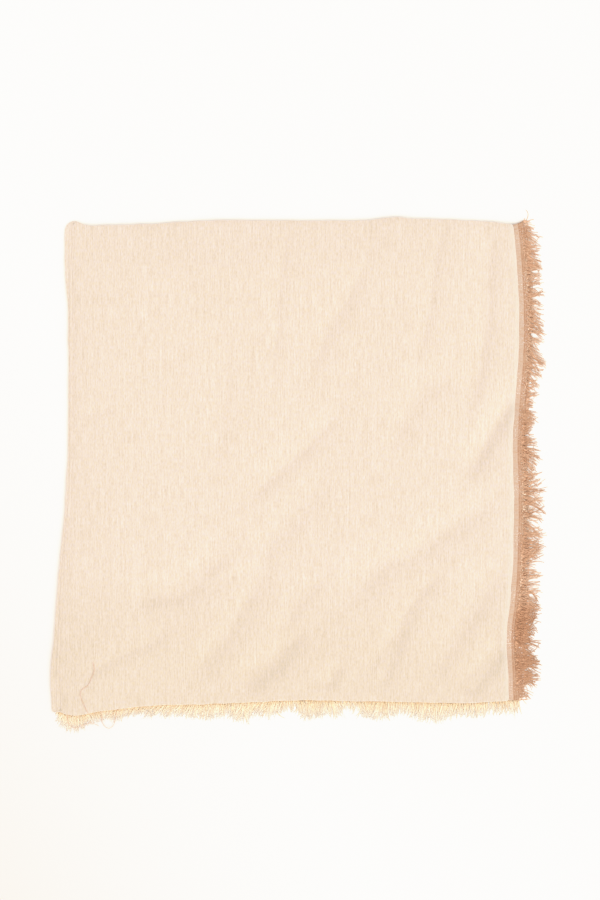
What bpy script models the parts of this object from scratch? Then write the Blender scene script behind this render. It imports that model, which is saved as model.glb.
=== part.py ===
"""Lurex scarf, folded to a near square and lying flat.

A stole of 1.0 x 2.0 m, fringed all round, is folded once across its width and twice along its length, so
eight layers lie on each other. The first fold gives the stacked noses at the left, the second one the crease
at the bottom with the fringed ends under it, and the third one the rolled edge at the top. The woven brown
bands and their eyelash fringe come together at the right.

Metres. X runs to the right, Y towards the rolled top edge, Z up. The origin is on the surface that the scarf
lies on, under its middle.
"""
import math
import random
from collections import namedtuple

import bmesh
import bpy
from mathutils import Vector

# ---------------------------------------------------------------------------------------------------------
# Driving dimensions
# ---------------------------------------------------------------------------------------------------------

CLOTH_THICKNESS = 0.0010    # one layer of the slubby cloth
SEAM_GAP = 0.0003           # air between neighbouring pieces
LAYER_GAP = 0.0004          # air between the top cloth and the layers it covers

# Left edge: how far the stacked folds reach, from the bottom of the packet to its top.
LeftRow = namedtuple("LeftRow", "y top_fold second_fold third_fold")
LEFT_EDGE = (
    LeftRow(-0.2470, -0.2450, -0.2500, -0.2545),
    LeftRow(-0.2050, -0.2462, -0.2500, -0.2558),
    LeftRow(-0.1680, -0.2450, -0.2480, -0.2520),
    LeftRow(-0.1160, -0.2430, -0.2455, -0.2486),
    LeftRow(-0.0700, -0.2390, -0.2412, -0.2440),
    LeftRow(-0.0230, -0.2338, -0.2370, -0.2402),
    LeftRow(+0.0350, -0.2328, -0.2356, -0.2376),
    LeftRow(+0.1700, -0.2325, -0.2358, -0.2378),
    LeftRow(+0.2050, -0.2332, -0.2362, -0.2405),
    LeftRow(+0.2560, -0.2345, -0.2368, -0.2408),
)

# Right edge of the cream body, from the bottom to the top. The woven band starts here.
RightRow = namedtuple("RightRow", "y body")
RIGHT_EDGE = (
    RightRow(-0.2350, 0.2168),
    RightRow(-0.2065, 0.2161),
    RightRow(-0.1770, 0.2146),
    RightRow(-0.1580, 0.2150),
    RightRow(-0.1355, 0.2178),
    RightRow(-0.1035, 0.2203),
    RightRow(-0.0283, 0.2220),
    RightRow(+0.0340, 0.2209),
    RightRow(+0.0953, 0.2251),
    RightRow(+0.1313, 0.2271),
    RightRow(+0.1780, 0.2271),
    RightRow(+0.2292, 0.2240),
    RightRow(+0.2560, 0.2213),
)

# Rolled top edge and creased bottom edge, from the left to the right.
AcrossRow = namedtuple("AcrossRow", "x reach")
TOP_EDGE = (
    AcrossRow(-0.2400, 0.2590),
    AcrossRow(-0.2290, 0.2592),
    AcrossRow(-0.2210, 0.2556),
    AcrossRow(-0.2040, 0.2549),
    AcrossRow(-0.1500, 0.2565),
    AcrossRow(-0.1107, 0.2590),
    AcrossRow(-0.0860, 0.2600),
    AcrossRow(+0.0685, 0.2601),
    AcrossRow(+0.0994, 0.2632),
    AcrossRow(+0.1150, 0.2621),
    AcrossRow(+0.1457, 0.2611),
    AcrossRow(+0.1920, 0.2590),
    AcrossRow(+0.2213, 0.2560),
)
BOTTOM_EDGE = (
    AcrossRow(-0.2468, -0.2480),
    AcrossRow(-0.2300, -0.2507),
    AcrossRow(-0.2160, -0.2480),
    AcrossRow(-0.1940, -0.2448),
    AcrossRow(-0.1530, -0.2407),
    AcrossRow(-0.1014, -0.2390),
    AcrossRow(-0.0400, -0.2365),
    AcrossRow(+0.0015, -0.2351),
    AcrossRow(+0.0798, -0.2361),
    AcrossRow(+0.1396, -0.2374),
    AcrossRow(+0.1766, -0.2377),
    AcrossRow(+0.2168, -0.2350),
)

# Radius of each corner seen from above.
CORNER_RADIUS = {"top_left": 0.0090, "top_right": 0.0020, "bottom_left": 0.0060, "bottom_right": 0.0020}

# Height of the packet's top, from its bottom edge (v = 0) to its top edge (v = 1). The layers lie closest at
# the right, where nothing is folded.
HeightRow = namedtuple("HeightRow", "v left inner_left middle inner_right right")
PACKET_HEIGHT = (
    HeightRow(0.00, 0.0078, 0.0078, 0.0074, 0.0068, 0.0062),
    HeightRow(0.12, 0.0084, 0.0088, 0.0084, 0.0076, 0.0064),
    HeightRow(0.50, 0.0080, 0.0088, 0.0086, 0.0080, 0.0064),
    HeightRow(0.88, 0.0084, 0.0092, 0.0090, 0.0082, 0.0066),
    HeightRow(1.00, 0.0082, 0.0086, 0.0086, 0.0080, 0.0066),
)
HEIGHT_COLUMNS = (0.00, 0.12, 0.50, 0.88, 1.00)

# How the top cloth turns down over each edge: reach outwards, half height of the turn, and how far round it
# goes. At the right it only dips to the woven band.
Turn = namedtuple("Turn", "reach half_height end_angle")
TURN_LEFT = Turn(0.0019, 0.0012, math.radians(150))
TURN_TOP = Turn(0.0042, 0.0036, math.radians(160))
TURN_BOTTOM = Turn(0.0028, 0.0020, math.radians(155))
TURN_RIGHT = Turn(0.0014, 0.0013, math.radians(92))
TURN_STEPS = 4              # rings from the flat top to the end of a turn
CORNER_BLEND_ROUNDS = 3     # smoothing rounds where two turns meet

# Outlines of the layers from the top one down: which left fold each follows, and how far in from the top
# cloth's edge it stays on the other sides. The bottom crease overhangs the layers whose fringe it covers.
Layer = namedtuple("Layer", "fold top right bottom")
TOP_LAYER = Layer("top_fold", 0.0, 0.0, 0.0)
HIDDEN_LIPS = (
    Layer("second_fold", 0.0022, 0.0012, 0.0036),
    Layer("third_fold", 0.0016, 0.0004, 0.0030),
    Layer("third_fold", 0.0020, 0.0000, 0.0026),
)
LIP_PROFILE = ((0.0, 0.22), (0.0, 0.74), (0.0009, 1.0))     # inset and depth of a lip's rings, groove last
NECK_CLEARANCE = 0.0005     # from the turned-down cloth to the layers inside it

# Largest creases of the top cloth, each a soft trough: start, end, half width and depth.
CREASE_END_DEPTH = 0.31     # share of a crease's depth that it still has at its two ends
Crease = namedtuple("Crease", "x0 y0 x1 y1 half_width depth")
CREASES = (
    Crease(-0.0600, -0.0330, +0.0440, +0.0660, 0.011, 0.0012),
    Crease(+0.0190, +0.1180, +0.0700, +0.2090, 0.012, 0.0008),
    Crease(+0.1700, +0.0480, +0.1980, +0.2400, 0.011, 0.0012),
    Crease(+0.1850, -0.0050, +0.2190, +0.0720, 0.012, 0.0015),
    Crease(+0.1200, -0.0740, +0.2180, -0.0270, 0.014, 0.0010),
    Crease(-0.1750, -0.1290, -0.0630, -0.0620, 0.014, 0.0009),
    Crease(-0.2250, -0.2210, -0.1250, -0.1490, 0.011, 0.0012),
    Crease(-0.1080, -0.2080, -0.0290, -0.0930, 0.014, 0.0012),
    Crease(-0.0580, -0.2210, +0.0150, -0.1690, 0.012, 0.0015),
    Crease(+0.0690, -0.2040, +0.1490, -0.1000, 0.012, 0.0012),
    Crease(+0.1300, -0.2130, +0.2160, -0.0930, 0.012, 0.0012),
    Crease(+0.1720, -0.2280, +0.2160, -0.1850, 0.012, 0.0015),
)

# Stations of the cloth's grid: close together at the edges, even in between.
EDGE_STATIONS = (0.0, 0.012, 0.030)
EVEN_CELLS = 21

# Woven bands at the right, beyond the cream body's edge.
BAND_WIDTH = 0.0120         # pinkish strip and brown band together
BAND_THICKNESS = 0.0009
BAND_STEP_DOWN = 0.0007     # from the body's edge down to the band
BAND_DROOP = 0.0016         # how far the band sinks towards its outer edge
BAND_END_SINK = 0.0012      # how far it sinks towards the folds at its two ends
BAND_END_SINK_LENGTH = 0.0080
BAND_END_LIFT = 0.0055      # its outer corner runs on past the rolled top edge
BAND_LIFT_LENGTH = 0.0560
BAND_LIFT_POWER = 1.5       # how much of the lift is kept for the band's outer side
UPPER_BAND_ACROSS = (0.0, 0.4, 1.0)
LOWER_BANDS_SHORTER = 0.0040    # they stop short of the bottom crease, clear of the end fringe

# Stepped outer side of the lower bands, from the surface up: share of the band's width and of its height.
BandLip = namedtuple("BandLip", "across height_share")
LOWER_BAND_SIDE = (
    BandLip(0.92, 0.00),
    BandLip(0.97, 0.24),
    BandLip(0.88, 0.34),
    BandLip(0.95, 0.46),
    BandLip(0.97, 0.62),
    BandLip(0.86, 0.72),
    BandLip(0.93, 0.84),
    BandLip(0.90, 0.95),
)

# Fringes: strands in a row, their length and its spread, how far they lean sideways for their length, how
# far they droop, and the lowest that the middle of a strand comes, just above what lies below it.
Fringe = namedtuple("Fringe", "strands length length_spread lean droop lowest seed")
SIDE_FRINGE_UPPER = Fringe(64, 0.0130, 0.0024, 0.55, 0.0015, 0.0024, 11)
SIDE_FRINGE_LOWER = Fringe(56, 0.0122, 0.0030, 0.60, 0.0008, 0.0009, 23)
END_FRINGE = Fringe(112, 0.0160, 0.0030, 0.35, 0.0006, 0.0009, 37)
BACKING_WIDTH = 0.0015      # narrow strip that holds a fringe's roots
BACKING_THICKNESS = 0.0009
BACKING_SPAN = 8            # front cells to one cell at the backing's rear
STRAND_ROOT_SHARE = 0.55    # part of each strand's pitch that its root takes up
END_CLEARANCE = 0.0010      # the side backings stop short of the bands' ends
LOWER_ROOT_SHARE = 0.40     # height of the lower side fringe's roots under the upper one's
END_ROOT_HEIGHT = 0.0010
END_ROOT_INSET = 0.0018     # the end fringe's backing lies this far inside the bottom crease
END_FRINGE_PAST_BODY = 0.0100   # it runs on under the woven band

# How the strands' lean wanders along a row: step from strand to strand, share of the fringe's lean, phase.
LeanWave = namedtuple("LeanWave", "step share phase")
LEAN_WAVES = (LeanWave(0.37, 0.35, 0.0), LeanWave(1.13, 0.21, 1.0))
LEAN_SCATTER = 0.40         # share of the lean that differs from strand to strand

# How a strand narrows: share of its length and of its root's size.
StrandStep = namedtuple("StrandStep", "share thickness")
STRAND_STEPS = (StrandStep(0.45, 0.80), StrandStep(1.00, 0.45))

SHARP_ANGLE = math.radians(50)      # faces that meet more sharply than this keep their edge

# Colour, roughness and metallic share of each finish.
MATERIALS = {
    "body_cloth": ((0.888, 0.745, 0.591, 1.0), 0.62, 0.0),
    "woven_band": ((0.658, 0.402, 0.258, 1.0), 0.50, 0.15),
    "side_fringe": ((0.650, 0.400, 0.262, 1.0), 0.60, 0.0),
    "end_fringe": ((0.955, 0.830, 0.610, 1.0), 0.70, 0.0),
}


# ---------------------------------------------------------------------------------------------------------
# Curves through tables
# ---------------------------------------------------------------------------------------------------------

def curve_value(table, position):
    """Return the smooth curve through (position, value) pairs, held level past both ends."""
    if position <= table[0][0]:
        return table[0][1]
    if position >= table[-1][0]:
        return table[-1][1]
    index = max(i for i in range(len(table) - 1) if table[i][0] <= position)
    start, end = table[index], table[index + 1]
    before = table[max(index - 1, 0)]
    after = table[min(index + 2, len(table) - 1)]
    span = end[0] - start[0]
    slope_start = (end[1] - before[1]) / (end[0] - before[0])
    slope_end = (after[1] - start[1]) / (after[0] - start[0])
    t = (position - start[0]) / span
    hermite_start = (1 + 2 * t) * (1 - t) ** 2
    hermite_end = t * t * (3 - 2 * t)
    lead_out = t * (1 - t) ** 2 * span
    lead_in = t * t * (t - 1) * span
    return hermite_start * start[1] + hermite_end * end[1] + lead_out * slope_start + lead_in * slope_end


def column(table, key, value):
    """Return (key, value) pairs of a table's two named columns."""
    return [(getattr(row, key), getattr(row, value)) for row in table]


def packet_height(u, v):
    """Return the height of the packet's smooth top at the fractions u (left to right) and v (up)."""
    levels = []
    for name, u_station in zip(HeightRow._fields[1:], HEIGHT_COLUMNS):
        levels.append((u_station, curve_value(column(PACKET_HEIGHT, "v", name), v)))
    return curve_value(levels, u)


def crease_depth(x, y):
    """Return how deep the creases sink the top cloth at a point."""
    total = 0.0
    for crease in CREASES:
        start = Vector((crease.x0, crease.y0))
        run = Vector((crease.x1, crease.y1)) - start
        along = (Vector((x, y)) - start).dot(run) / run.length_squared
        nearest = start + run * min(max(along, 0.0), 1.0)
        distance = (Vector((x, y)) - nearest).length
        middle = math.sin(math.pi * min(max(along, 0.0), 1.0))
        fade = CREASE_END_DEPTH + (1 - CREASE_END_DEPTH) * middle
        total += crease.depth * fade * math.exp(-(distance / crease.half_width) ** 2)
    return total


# ---------------------------------------------------------------------------------------------------------
# Outline and grid
# ---------------------------------------------------------------------------------------------------------

def stations():
    """Return the grid's fractions from 0 to 1, close together at both ends."""
    inner = EDGE_STATIONS[-1]
    even = [inner + (1 - 2 * inner) * i / EVEN_CELLS for i in range(1, EVEN_CELLS)]
    return list(EDGE_STATIONS) + even + [1 - s for s in reversed(EDGE_STATIONS)]


STATIONS = stations()
LAST = len(STATIONS) - 1


def perimeter():
    """Return the grid's boundary as (i, j) pairs, counterclockwise from the bottom left corner."""
    bottom = [(i, 0) for i in range(LAST)]
    right = [(LAST, j) for j in range(LAST)]
    top = [(LAST - i, LAST) for i in range(LAST)]
    left = [(0, LAST - j) for j in range(LAST)]
    return bottom + right + top + left


PERIMETER = perimeter()


def left_reach(y, fold):
    """Return the x that one of the left folds reaches at y."""
    return curve_value(column(LEFT_EDGE, "y", fold), y)


def right_reach(y):
    """Return the x of the cream body's right edge at y."""
    return curve_value(column(RIGHT_EDGE, "y", "body"), y)


def top_reach(x):
    """Return the y of the rolled top edge at x."""
    return curve_value(column(TOP_EDGE, "x", "reach"), x)


def bottom_reach(x):
    """Return the y of the creased bottom edge at x."""
    return curve_value(column(BOTTOM_EDGE, "x", "reach"), x)


def square_outline_point(i, j, layer):
    """Return a boundary point of a layer's outline before its corners are rounded."""
    u, v = STATIONS[i], STATIONS[j]
    if j in (0, LAST):
        end = 0 if j == 0 else -1
        left = left_reach(LEFT_EDGE[end].y, layer.fold)
        right = RIGHT_EDGE[end].body - layer.right
        x = left + (right - left) * u
        return Vector((x, top_reach(x) - layer.top if j else bottom_reach(x) + layer.bottom))
    corner_x = [LEFT_EDGE[end].top_fold if i == 0 else RIGHT_EDGE[end].body for end in (0, -1)]
    low = bottom_reach(corner_x[0]) + layer.bottom
    high = top_reach(corner_x[1]) - layer.top
    y = low + (high - low) * v
    return Vector((left_reach(y, layer.fold) if i == 0 else right_reach(y) - layer.right, y))


def round_corners(points):
    """Pull the boundary points near each corner in to its radius."""
    corners = {
        "bottom_left": (0, 0), "bottom_right": (LAST, 0),
        "top_right": (LAST, LAST), "top_left": (0, LAST),
    }
    rounded = {place: point.copy() for place, point in points.items()}
    for name, (ci, cj) in corners.items():
        radius = CORNER_RADIUS[name]
        corner = points[(ci, cj)]
        inward = Vector((1 if ci == 0 else -1, 1 if cj == 0 else -1))
        for (i, j), point in points.items():
            if (i, j) == (ci, cj):
                rounded[(i, j)] += inward * radius * (1 - math.sqrt(0.5))
                continue
            on_upright_side = i == ci
            on_level_side = j == cj
            if not (on_upright_side or on_level_side):
                continue
            away = (point - corner).length
            if away >= radius:
                continue
            pull = radius - math.sqrt(radius ** 2 - (radius - away) ** 2)
            direction = Vector((inward.x, 0)) if on_upright_side else Vector((0, inward.y))
            rounded[(i, j)] += direction * pull
    return rounded


def side_of(i, j):
    """Return the name of the side that a boundary station lies on."""
    if i == 0:
        return "left"
    if i == LAST:
        return "right"
    return "bottom" if j == 0 else "top"


def blend_round(values):
    """Smooth a list of numbers round the perimeter, so that one side's size runs into the next one's."""
    count = len(values)
    for _ in range(CORNER_BLEND_ROUNDS):
        values = [(values[k - 1] + 2 * values[k] + values[(k + 1) % count]) / 4 for k in range(count)]
    return values


def outline(layer):
    """Return a layer's outline round the perimeter, with its corners rounded."""
    points = round_corners({place: square_outline_point(*place, layer) for place in PERIMETER})
    return [points[place] for place in PERIMETER]


def outward_normals(points):
    """Return the outward unit normals of a closed outline."""
    normals = []
    for k, _ in enumerate(points):
        tangent = points[(k + 1) % len(points)] - points[k - 1]
        normals.append(Vector((tangent.y, -tangent.x)).normalized())
    return normals


OUTLINE = outline(TOP_LAYER)
NORMALS = outward_normals(OUTLINE)
TURNS = {"left": TURN_LEFT, "top": TURN_TOP, "right": TURN_RIGHT, "bottom": TURN_BOTTOM}
SIDES = [side_of(*place) for place in PERIMETER]
TURN_REACH = blend_round([TURNS[side].reach for side in SIDES])
TURN_HALF_HEIGHT = blend_round([TURNS[side].half_height for side in SIDES])
TURN_END = blend_round([TURNS[side].end_angle for side in SIDES])


def flat_grid():
    """Return the plan of the flat top: a patch whose boundary lies inside the outline by the turns' reach."""
    edge = {}
    for k, place in enumerate(PERIMETER):
        edge[place] = OUTLINE[k] - NORMALS[k] * TURN_REACH[k]
    plan = {}
    for i, u in enumerate(STATIONS):
        for j, v in enumerate(STATIONS):
            if (i, j) in edge:
                plan[(i, j)] = edge[(i, j)]
                continue
            across = edge[(0, j)] * (1 - u) + edge[(LAST, j)] * u
            upward = edge[(i, 0)] * (1 - v) + edge[(i, LAST)] * v
            low = edge[(0, 0)] * (1 - u) + edge[(LAST, 0)] * u
            high = edge[(0, LAST)] * (1 - u) + edge[(LAST, LAST)] * u
            plan[(i, j)] = across + upward - (low * (1 - v) + high * v)
    return plan


PLAN = flat_grid()


def top_height(i, j):
    """Return the height of the top cloth's face at a grid station."""
    x, y = PLAN[(i, j)]
    return packet_height(STATIONS[i], STATIONS[j]) - crease_depth(x, y)


HEIGHT = {place: top_height(*place) for place in PLAN}


# ---------------------------------------------------------------------------------------------------------
# Mesh helpers
# ---------------------------------------------------------------------------------------------------------

def new_material(name):
    """Make the plain Principled material of a finish."""
    colour, roughness, metallic = MATERIALS[name]
    material = bpy.data.materials.new(name)
    material.use_nodes = True
    shader = material.node_tree.nodes["Principled BSDF"]
    shader.inputs["Base Color"].default_value = colour
    shader.inputs["Roughness"].default_value = roughness
    shader.inputs["Metallic"].default_value = metallic
    return material


def add_object(name, mesh_builder, material):
    """Turn a finished bmesh into a named object with a material."""
    bmesh.ops.recalc_face_normals(mesh_builder, faces=mesh_builder.faces)
    mesh = bpy.data.meshes.new(name)
    mesh_builder.to_mesh(mesh)
    mesh_builder.free()
    mesh.materials.append(material)
    mesh.shade_smooth()
    mesh.set_sharp_from_angle(angle=SHARP_ANGLE)
    scene_object = bpy.data.objects.new(name, mesh)
    bpy.context.scene.collection.objects.link(scene_object)
    return scene_object


def add_grid(mesh_builder, positions):
    """Add the grid's vertices and its faces, split along the way that the creases run."""
    verts = {place: mesh_builder.verts.new(point) for place, point in positions.items()}
    for i in range(LAST):
        for j in range(LAST):
            near, far = verts[(i, j)], verts[(i + 1, j + 1)]
            mesh_builder.faces.new((near, verts[(i + 1, j)], far))
            mesh_builder.faces.new((near, far, verts[(i, j + 1)]))
    return verts


def bridge_rings(mesh_builder, upper, lower):
    """Join two closed rings of vertices with triangles."""
    count = len(upper)
    for k in range(count):
        following = (k + 1) % count
        mesh_builder.faces.new((upper[k], lower[k], lower[following]))
        mesh_builder.faces.new((upper[k], lower[following], upper[following]))


def loft(mesh_builder, sections):
    """Join equal sections into one closed bar, with a face at each end."""
    rings = [[mesh_builder.verts.new(point) for point in section] for section in sections]
    for first, second in zip(rings, rings[1:]):
        bridge_rings(mesh_builder, first, second)
    mesh_builder.faces.new(rings[0])
    mesh_builder.faces.new(list(reversed(rings[-1])))


# ---------------------------------------------------------------------------------------------------------
# Body cloth
# ---------------------------------------------------------------------------------------------------------

def turn_ring(angle_share, inset):
    """Return a ring of points on the turned-down edge, inset from its outer face by a wall's thickness."""
    ring = []
    for k, place in enumerate(PERIMETER):
        angle = TURN_END[k] * angle_share
        centre = OUTLINE[k] - NORMALS[k] * TURN_REACH[k]
        reach = (TURN_REACH[k] - inset) * math.sin(angle)
        x, y = centre + NORMALS[k] * reach
        axis_height = HEIGHT[place] - TURN_HALF_HEIGHT[k]
        ring.append(Vector((x, y, axis_height + (TURN_HALF_HEIGHT[k] - inset) * math.cos(angle))))
    return ring


def turn_end_height(k):
    """Return the height of the lowest point of the turned-down edge at a perimeter station."""
    drop = TURN_HALF_HEIGHT[k] * (1 - math.cos(TURN_END[k]))
    return HEIGHT[PERIMETER[k]] - drop


def build_top_cloth(material):
    """Build the stretch of body cloth on top, a wall that turns down over every edge."""
    bm = bmesh.new()
    ends = []
    for inset in (0.0, CLOTH_THICKNESS):
        positions = {place: Vector((*PLAN[place], HEIGHT[place] - inset)) for place in PLAN}
        verts = add_grid(bm, positions)
        rings = [[verts[place] for place in PERIMETER]]
        for step in range(1, TURN_STEPS + 1):
            rings.append([bm.verts.new(point) for point in turn_ring(step / TURN_STEPS, inset)])
        for upper, lower in zip(rings, rings[1:]):
            bridge_rings(bm, upper, lower)
        ends.append(rings[-1])
    bridge_rings(bm, *ends)
    return add_object("top_cloth", bm, material)


def hidden_ring(points, inset, height_share):
    """Return a ring of the hidden layers: an outline, drawn in, at a share of the height under the cloth."""
    ring = []
    for k, normal in enumerate(outward_normals(points)):
        x, y = points[k] - normal * inset
        ring.append(Vector((x, y, (turn_end_height(k) - LAYER_GAP) * height_share)))
    return ring


def build_hidden_layers(material):
    """Build the seven layers below the top cloth as one rounded solid with a flat underside."""
    bm = bmesh.new()
    neck = [OUTLINE[k] - NORMALS[k] * (TURN_REACH[k] + NECK_CLEARANCE) for k, _ in enumerate(PERIMETER)]
    positions = {place: Vector((*PLAN[place], HEIGHT[place] - CLOTH_THICKNESS - LAYER_GAP)) for place in PLAN}
    for k, place in enumerate(PERIMETER):
        positions[place] = Vector((*neck[k], positions[place].z))
    verts = add_grid(bm, positions)
    rings = [[verts[place] for place in PERIMETER]]
    rings.append([bm.verts.new(point) for point in hidden_ring(neck, 0.0, 1.0)])

    share = 1.0 / len(HIDDEN_LIPS)
    for number, lip in enumerate(HIDDEN_LIPS):
        edge = outline(lip)
        top = 1.0 - number * share
        for inset, depth in LIP_PROFILE:
            ring = hidden_ring(edge, inset, top - depth * share)
            rings.append([bm.verts.new(point) for point in ring])
    for upper, lower in zip(rings, rings[1:]):
        bridge_rings(bm, upper, lower)
    bm.faces.new(list(reversed(rings[-1])))
    return add_object("hidden_layers", bm, material)


# ---------------------------------------------------------------------------------------------------------
# Woven bands at the right
# ---------------------------------------------------------------------------------------------------------

BandStation = namedtuple("BandStation", "y height")


def edge_height(v):
    """Return the height of the packet's top along its right edge."""
    y = RIGHT_EDGE[0].y + (RIGHT_EDGE[-1].y - RIGHT_EDGE[0].y) * v
    return packet_height(1.0, v) - crease_depth(right_reach(y), y)


def band_stations(from_bottom, from_top):
    """Return stations along the right edge, from and to a distance off its ends: y and the height there."""
    low = RIGHT_EDGE[0].y + from_bottom
    high = RIGHT_EDGE[-1].y - from_top
    return [BandStation(low + (high - low) * v, edge_height(v)) for v in STATIONS]


def end_lift(y, across):
    """Return how far a point of the band is carried up past the top edge."""
    share = min(max(1.0 - (RIGHT_EDGE[-1].y - y) / BAND_LIFT_LENGTH, 0.0), 1.0)
    return BAND_END_LIFT * share ** 2 * across ** BAND_LIFT_POWER


def end_sink(y):
    """Return how far the bands sink towards the top and bottom folds."""
    to_end = min(RIGHT_EDGE[-1].y - y, y - RIGHT_EDGE[0].y)
    return BAND_END_SINK * math.exp(-(max(to_end, 0.0) / BAND_END_SINK_LENGTH) ** 2)


def band_point(station, across, height):
    """Return a point of a woven band at a share of its width and at a height."""
    inner = right_reach(station.y) + SEAM_GAP
    return Vector((inner + BAND_WIDTH * across, station.y + end_lift(station.y, across), height))


def build_selvedge_upper(material):
    """Build the top layer's woven band, a step below the body's edge."""
    bm = bmesh.new()
    sections = []
    for station in band_stations(0.0, 0.0):
        inner_height = station.height - BAND_STEP_DOWN - end_sink(station.y)
        upper = [band_point(station, a, inner_height - BAND_DROOP * a ** 2) for a in UPPER_BAND_ACROSS]
        lower = [point - Vector((0.0, 0.0, BAND_THICKNESS)) for point in reversed(upper)]
        sections.append(upper + lower)
    loft(bm, sections)
    return add_object("selvedge_upper", bm, material)


def build_selvedge_lower(material):
    """Build the lower layers' bands as one solid under the upper one, stepped at its outer side."""
    bm = bmesh.new()
    sections = []
    middle = UPPER_BAND_ACROSS[1]
    for station in band_stations(LOWER_BANDS_SHORTER, LOWER_BANDS_SHORTER / 2):
        upper_band = station.height - BAND_STEP_DOWN - end_sink(station.y) - BAND_THICKNESS
        inner_height = upper_band - 2 * SEAM_GAP
        outer_height = upper_band - SEAM_GAP - BAND_DROOP
        section = [band_point(station, 0.0, 0.0)]
        for lip in LOWER_BAND_SIDE:
            section.append(band_point(station, lip.across, outer_height * lip.height_share))
        section.append(band_point(station, middle, inner_height - BAND_DROOP * middle ** 2))
        section.append(band_point(station, 0.0, inner_height))
        sections.append(section)
    loft(bm, sections)
    return add_object("selvedge_lower", bm, material)


# ---------------------------------------------------------------------------------------------------------
# Fringes
# ---------------------------------------------------------------------------------------------------------

Root = namedtuple("Root", "back front low high outward")


def add_backing(mesh_builder, roots):
    """Add a fringe's narrow backing, a closed bar, and return the faces of its outer side in order."""
    last = len(roots) - 1
    front_low = [mesh_builder.verts.new((*root.front, root.low)) for root in roots]
    front_high = [mesh_builder.verts.new((*root.front, root.high)) for root in roots]
    span_ends = sorted(set(range(0, last, BACKING_SPAN)) | {last})
    back_low = {k: mesh_builder.verts.new((*roots[k].back, roots[k].low)) for k in span_ends}
    back_high = {k: mesh_builder.verts.new((*roots[k].back, roots[k].high)) for k in span_ends}
    for start, end in zip(span_ends, span_ends[1:]):
        mesh_builder.faces.new(front_high[start:end + 1] + [back_high[end], back_high[start]])
        mesh_builder.faces.new(front_low[start:end + 1] + [back_low[end], back_low[start]])
        mesh_builder.faces.new((back_low[start], back_low[end], back_high[end], back_high[start]))
    for k in (0, last):
        mesh_builder.faces.new((front_low[k], back_low[k], back_high[k], front_high[k]))
    fronts = []
    for k in range(last):
        corners = (front_low[k], front_low[k + 1], front_high[k + 1], front_high[k])
        fronts.append(mesh_builder.faces.new(corners))
    return fronts


def strand_plan(fringe, number, rng):
    """Return a strand's length and its sideways lean, which wanders along the row."""
    length = fringe.length + fringe.length_spread * rng.uniform(-1.0, 1.0)
    wander = sum(wave.share * math.sin(number * wave.step + wave.phase) for wave in LEAN_WAVES)
    return length, fringe.lean * (wander + LEAN_SCATTER * rng.uniform(-1.0, 1.0))


def build_fringe(name, fringe, roots, material):
    """Build a fringe: a backing along its roots, and a row of separate strands extruded from its outer side.

    Every second cell of the backing's outer side is a strand's root.
    """
    bm = bmesh.new()
    strand_roots = add_backing(bm, roots)[1::2]
    bmesh.ops.recalc_face_normals(bm, faces=bm.faces)
    rng = random.Random(fringe.seed)
    for number, tip in enumerate(strand_roots):
        length, lean = strand_plan(fringe, number, rng)
        outward = roots[2 * number + 1].outward
        root = tip.calc_center_median()
        corners = [vert.co - root for vert in tip.verts]
        for step in STRAND_STEPS:
            tip = bmesh.ops.extrude_discrete_faces(bm, faces=[tip])["faces"][0]
            centre = strand_point(root, outward, length, lean, fringe, step.share)
            for vert, corner in zip(tip.verts, corners):
                vert.co = centre + corner * step.thickness
    return add_object(name, bm, material)


def strand_point(start, outward, length, lean, fringe, share):
    """Return the middle of a strand at a share of its length: it leans sideways and droops."""
    sideways = Vector((-outward.y, outward.x))
    run = (outward + sideways * lean * share) * length * share
    height = max(start.z - fringe.droop * share ** 2, min(start.z, fringe.lowest))
    return Vector((start.x + run.x, start.y + run.y, height))


def strand_stations(fringe):
    """Return fractions along a fringe: a gap before, between and after its strands."""
    pitch = 1.0 / fringe.strands
    found = [0.0]
    for n in range(fringe.strands):
        middle = (n + 0.5) * pitch
        half = 0.5 * pitch * STRAND_ROOT_SHARE
        found += [middle - half, middle + half]
    return found + [1.0]


def side_roots(fringe, from_bottom, height_share):
    """Return the backing stations of a side fringe, outside the woven band."""
    low_y = RIGHT_EDGE[0].y + from_bottom
    high_y = RIGHT_EDGE[-1].y - END_CLEARANCE
    roots = []
    for share in strand_stations(fringe):
        y = low_y + (high_y - low_y) * share
        band_low = edge_height(share) - BAND_STEP_DOWN - BAND_DROOP - end_sink(y) - BAND_THICKNESS
        low = band_low * height_share
        back = Vector((right_reach(y) + BAND_WIDTH + 2 * SEAM_GAP, y + end_lift(y, 1.0)))
        front = back + Vector((BACKING_WIDTH, 0.0))
        roots.append(Root(back, front, low, low + BACKING_THICKNESS, Vector((1.0, 0.0))))
    return roots


def end_roots():
    """Return the backing stations of the end fringe, outside the lower layers and under the bottom crease."""
    low_x = BOTTOM_EDGE[0].x
    high_x = BOTTOM_EDGE[-1].x + END_FRINGE_PAST_BODY
    roots = []
    for share in strand_stations(END_FRINGE):
        x = low_x + (high_x - low_x) * share
        back = Vector((x, bottom_reach(x) + END_ROOT_INSET))
        front = back - Vector((0.0, BACKING_WIDTH))
        high = END_ROOT_HEIGHT + BACKING_THICKNESS
        roots.append(Root(back, front, END_ROOT_HEIGHT, high, Vector((0.0, -1.0))))
    return roots


# ---------------------------------------------------------------------------------------------------------
# The scarf
# ---------------------------------------------------------------------------------------------------------

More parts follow.
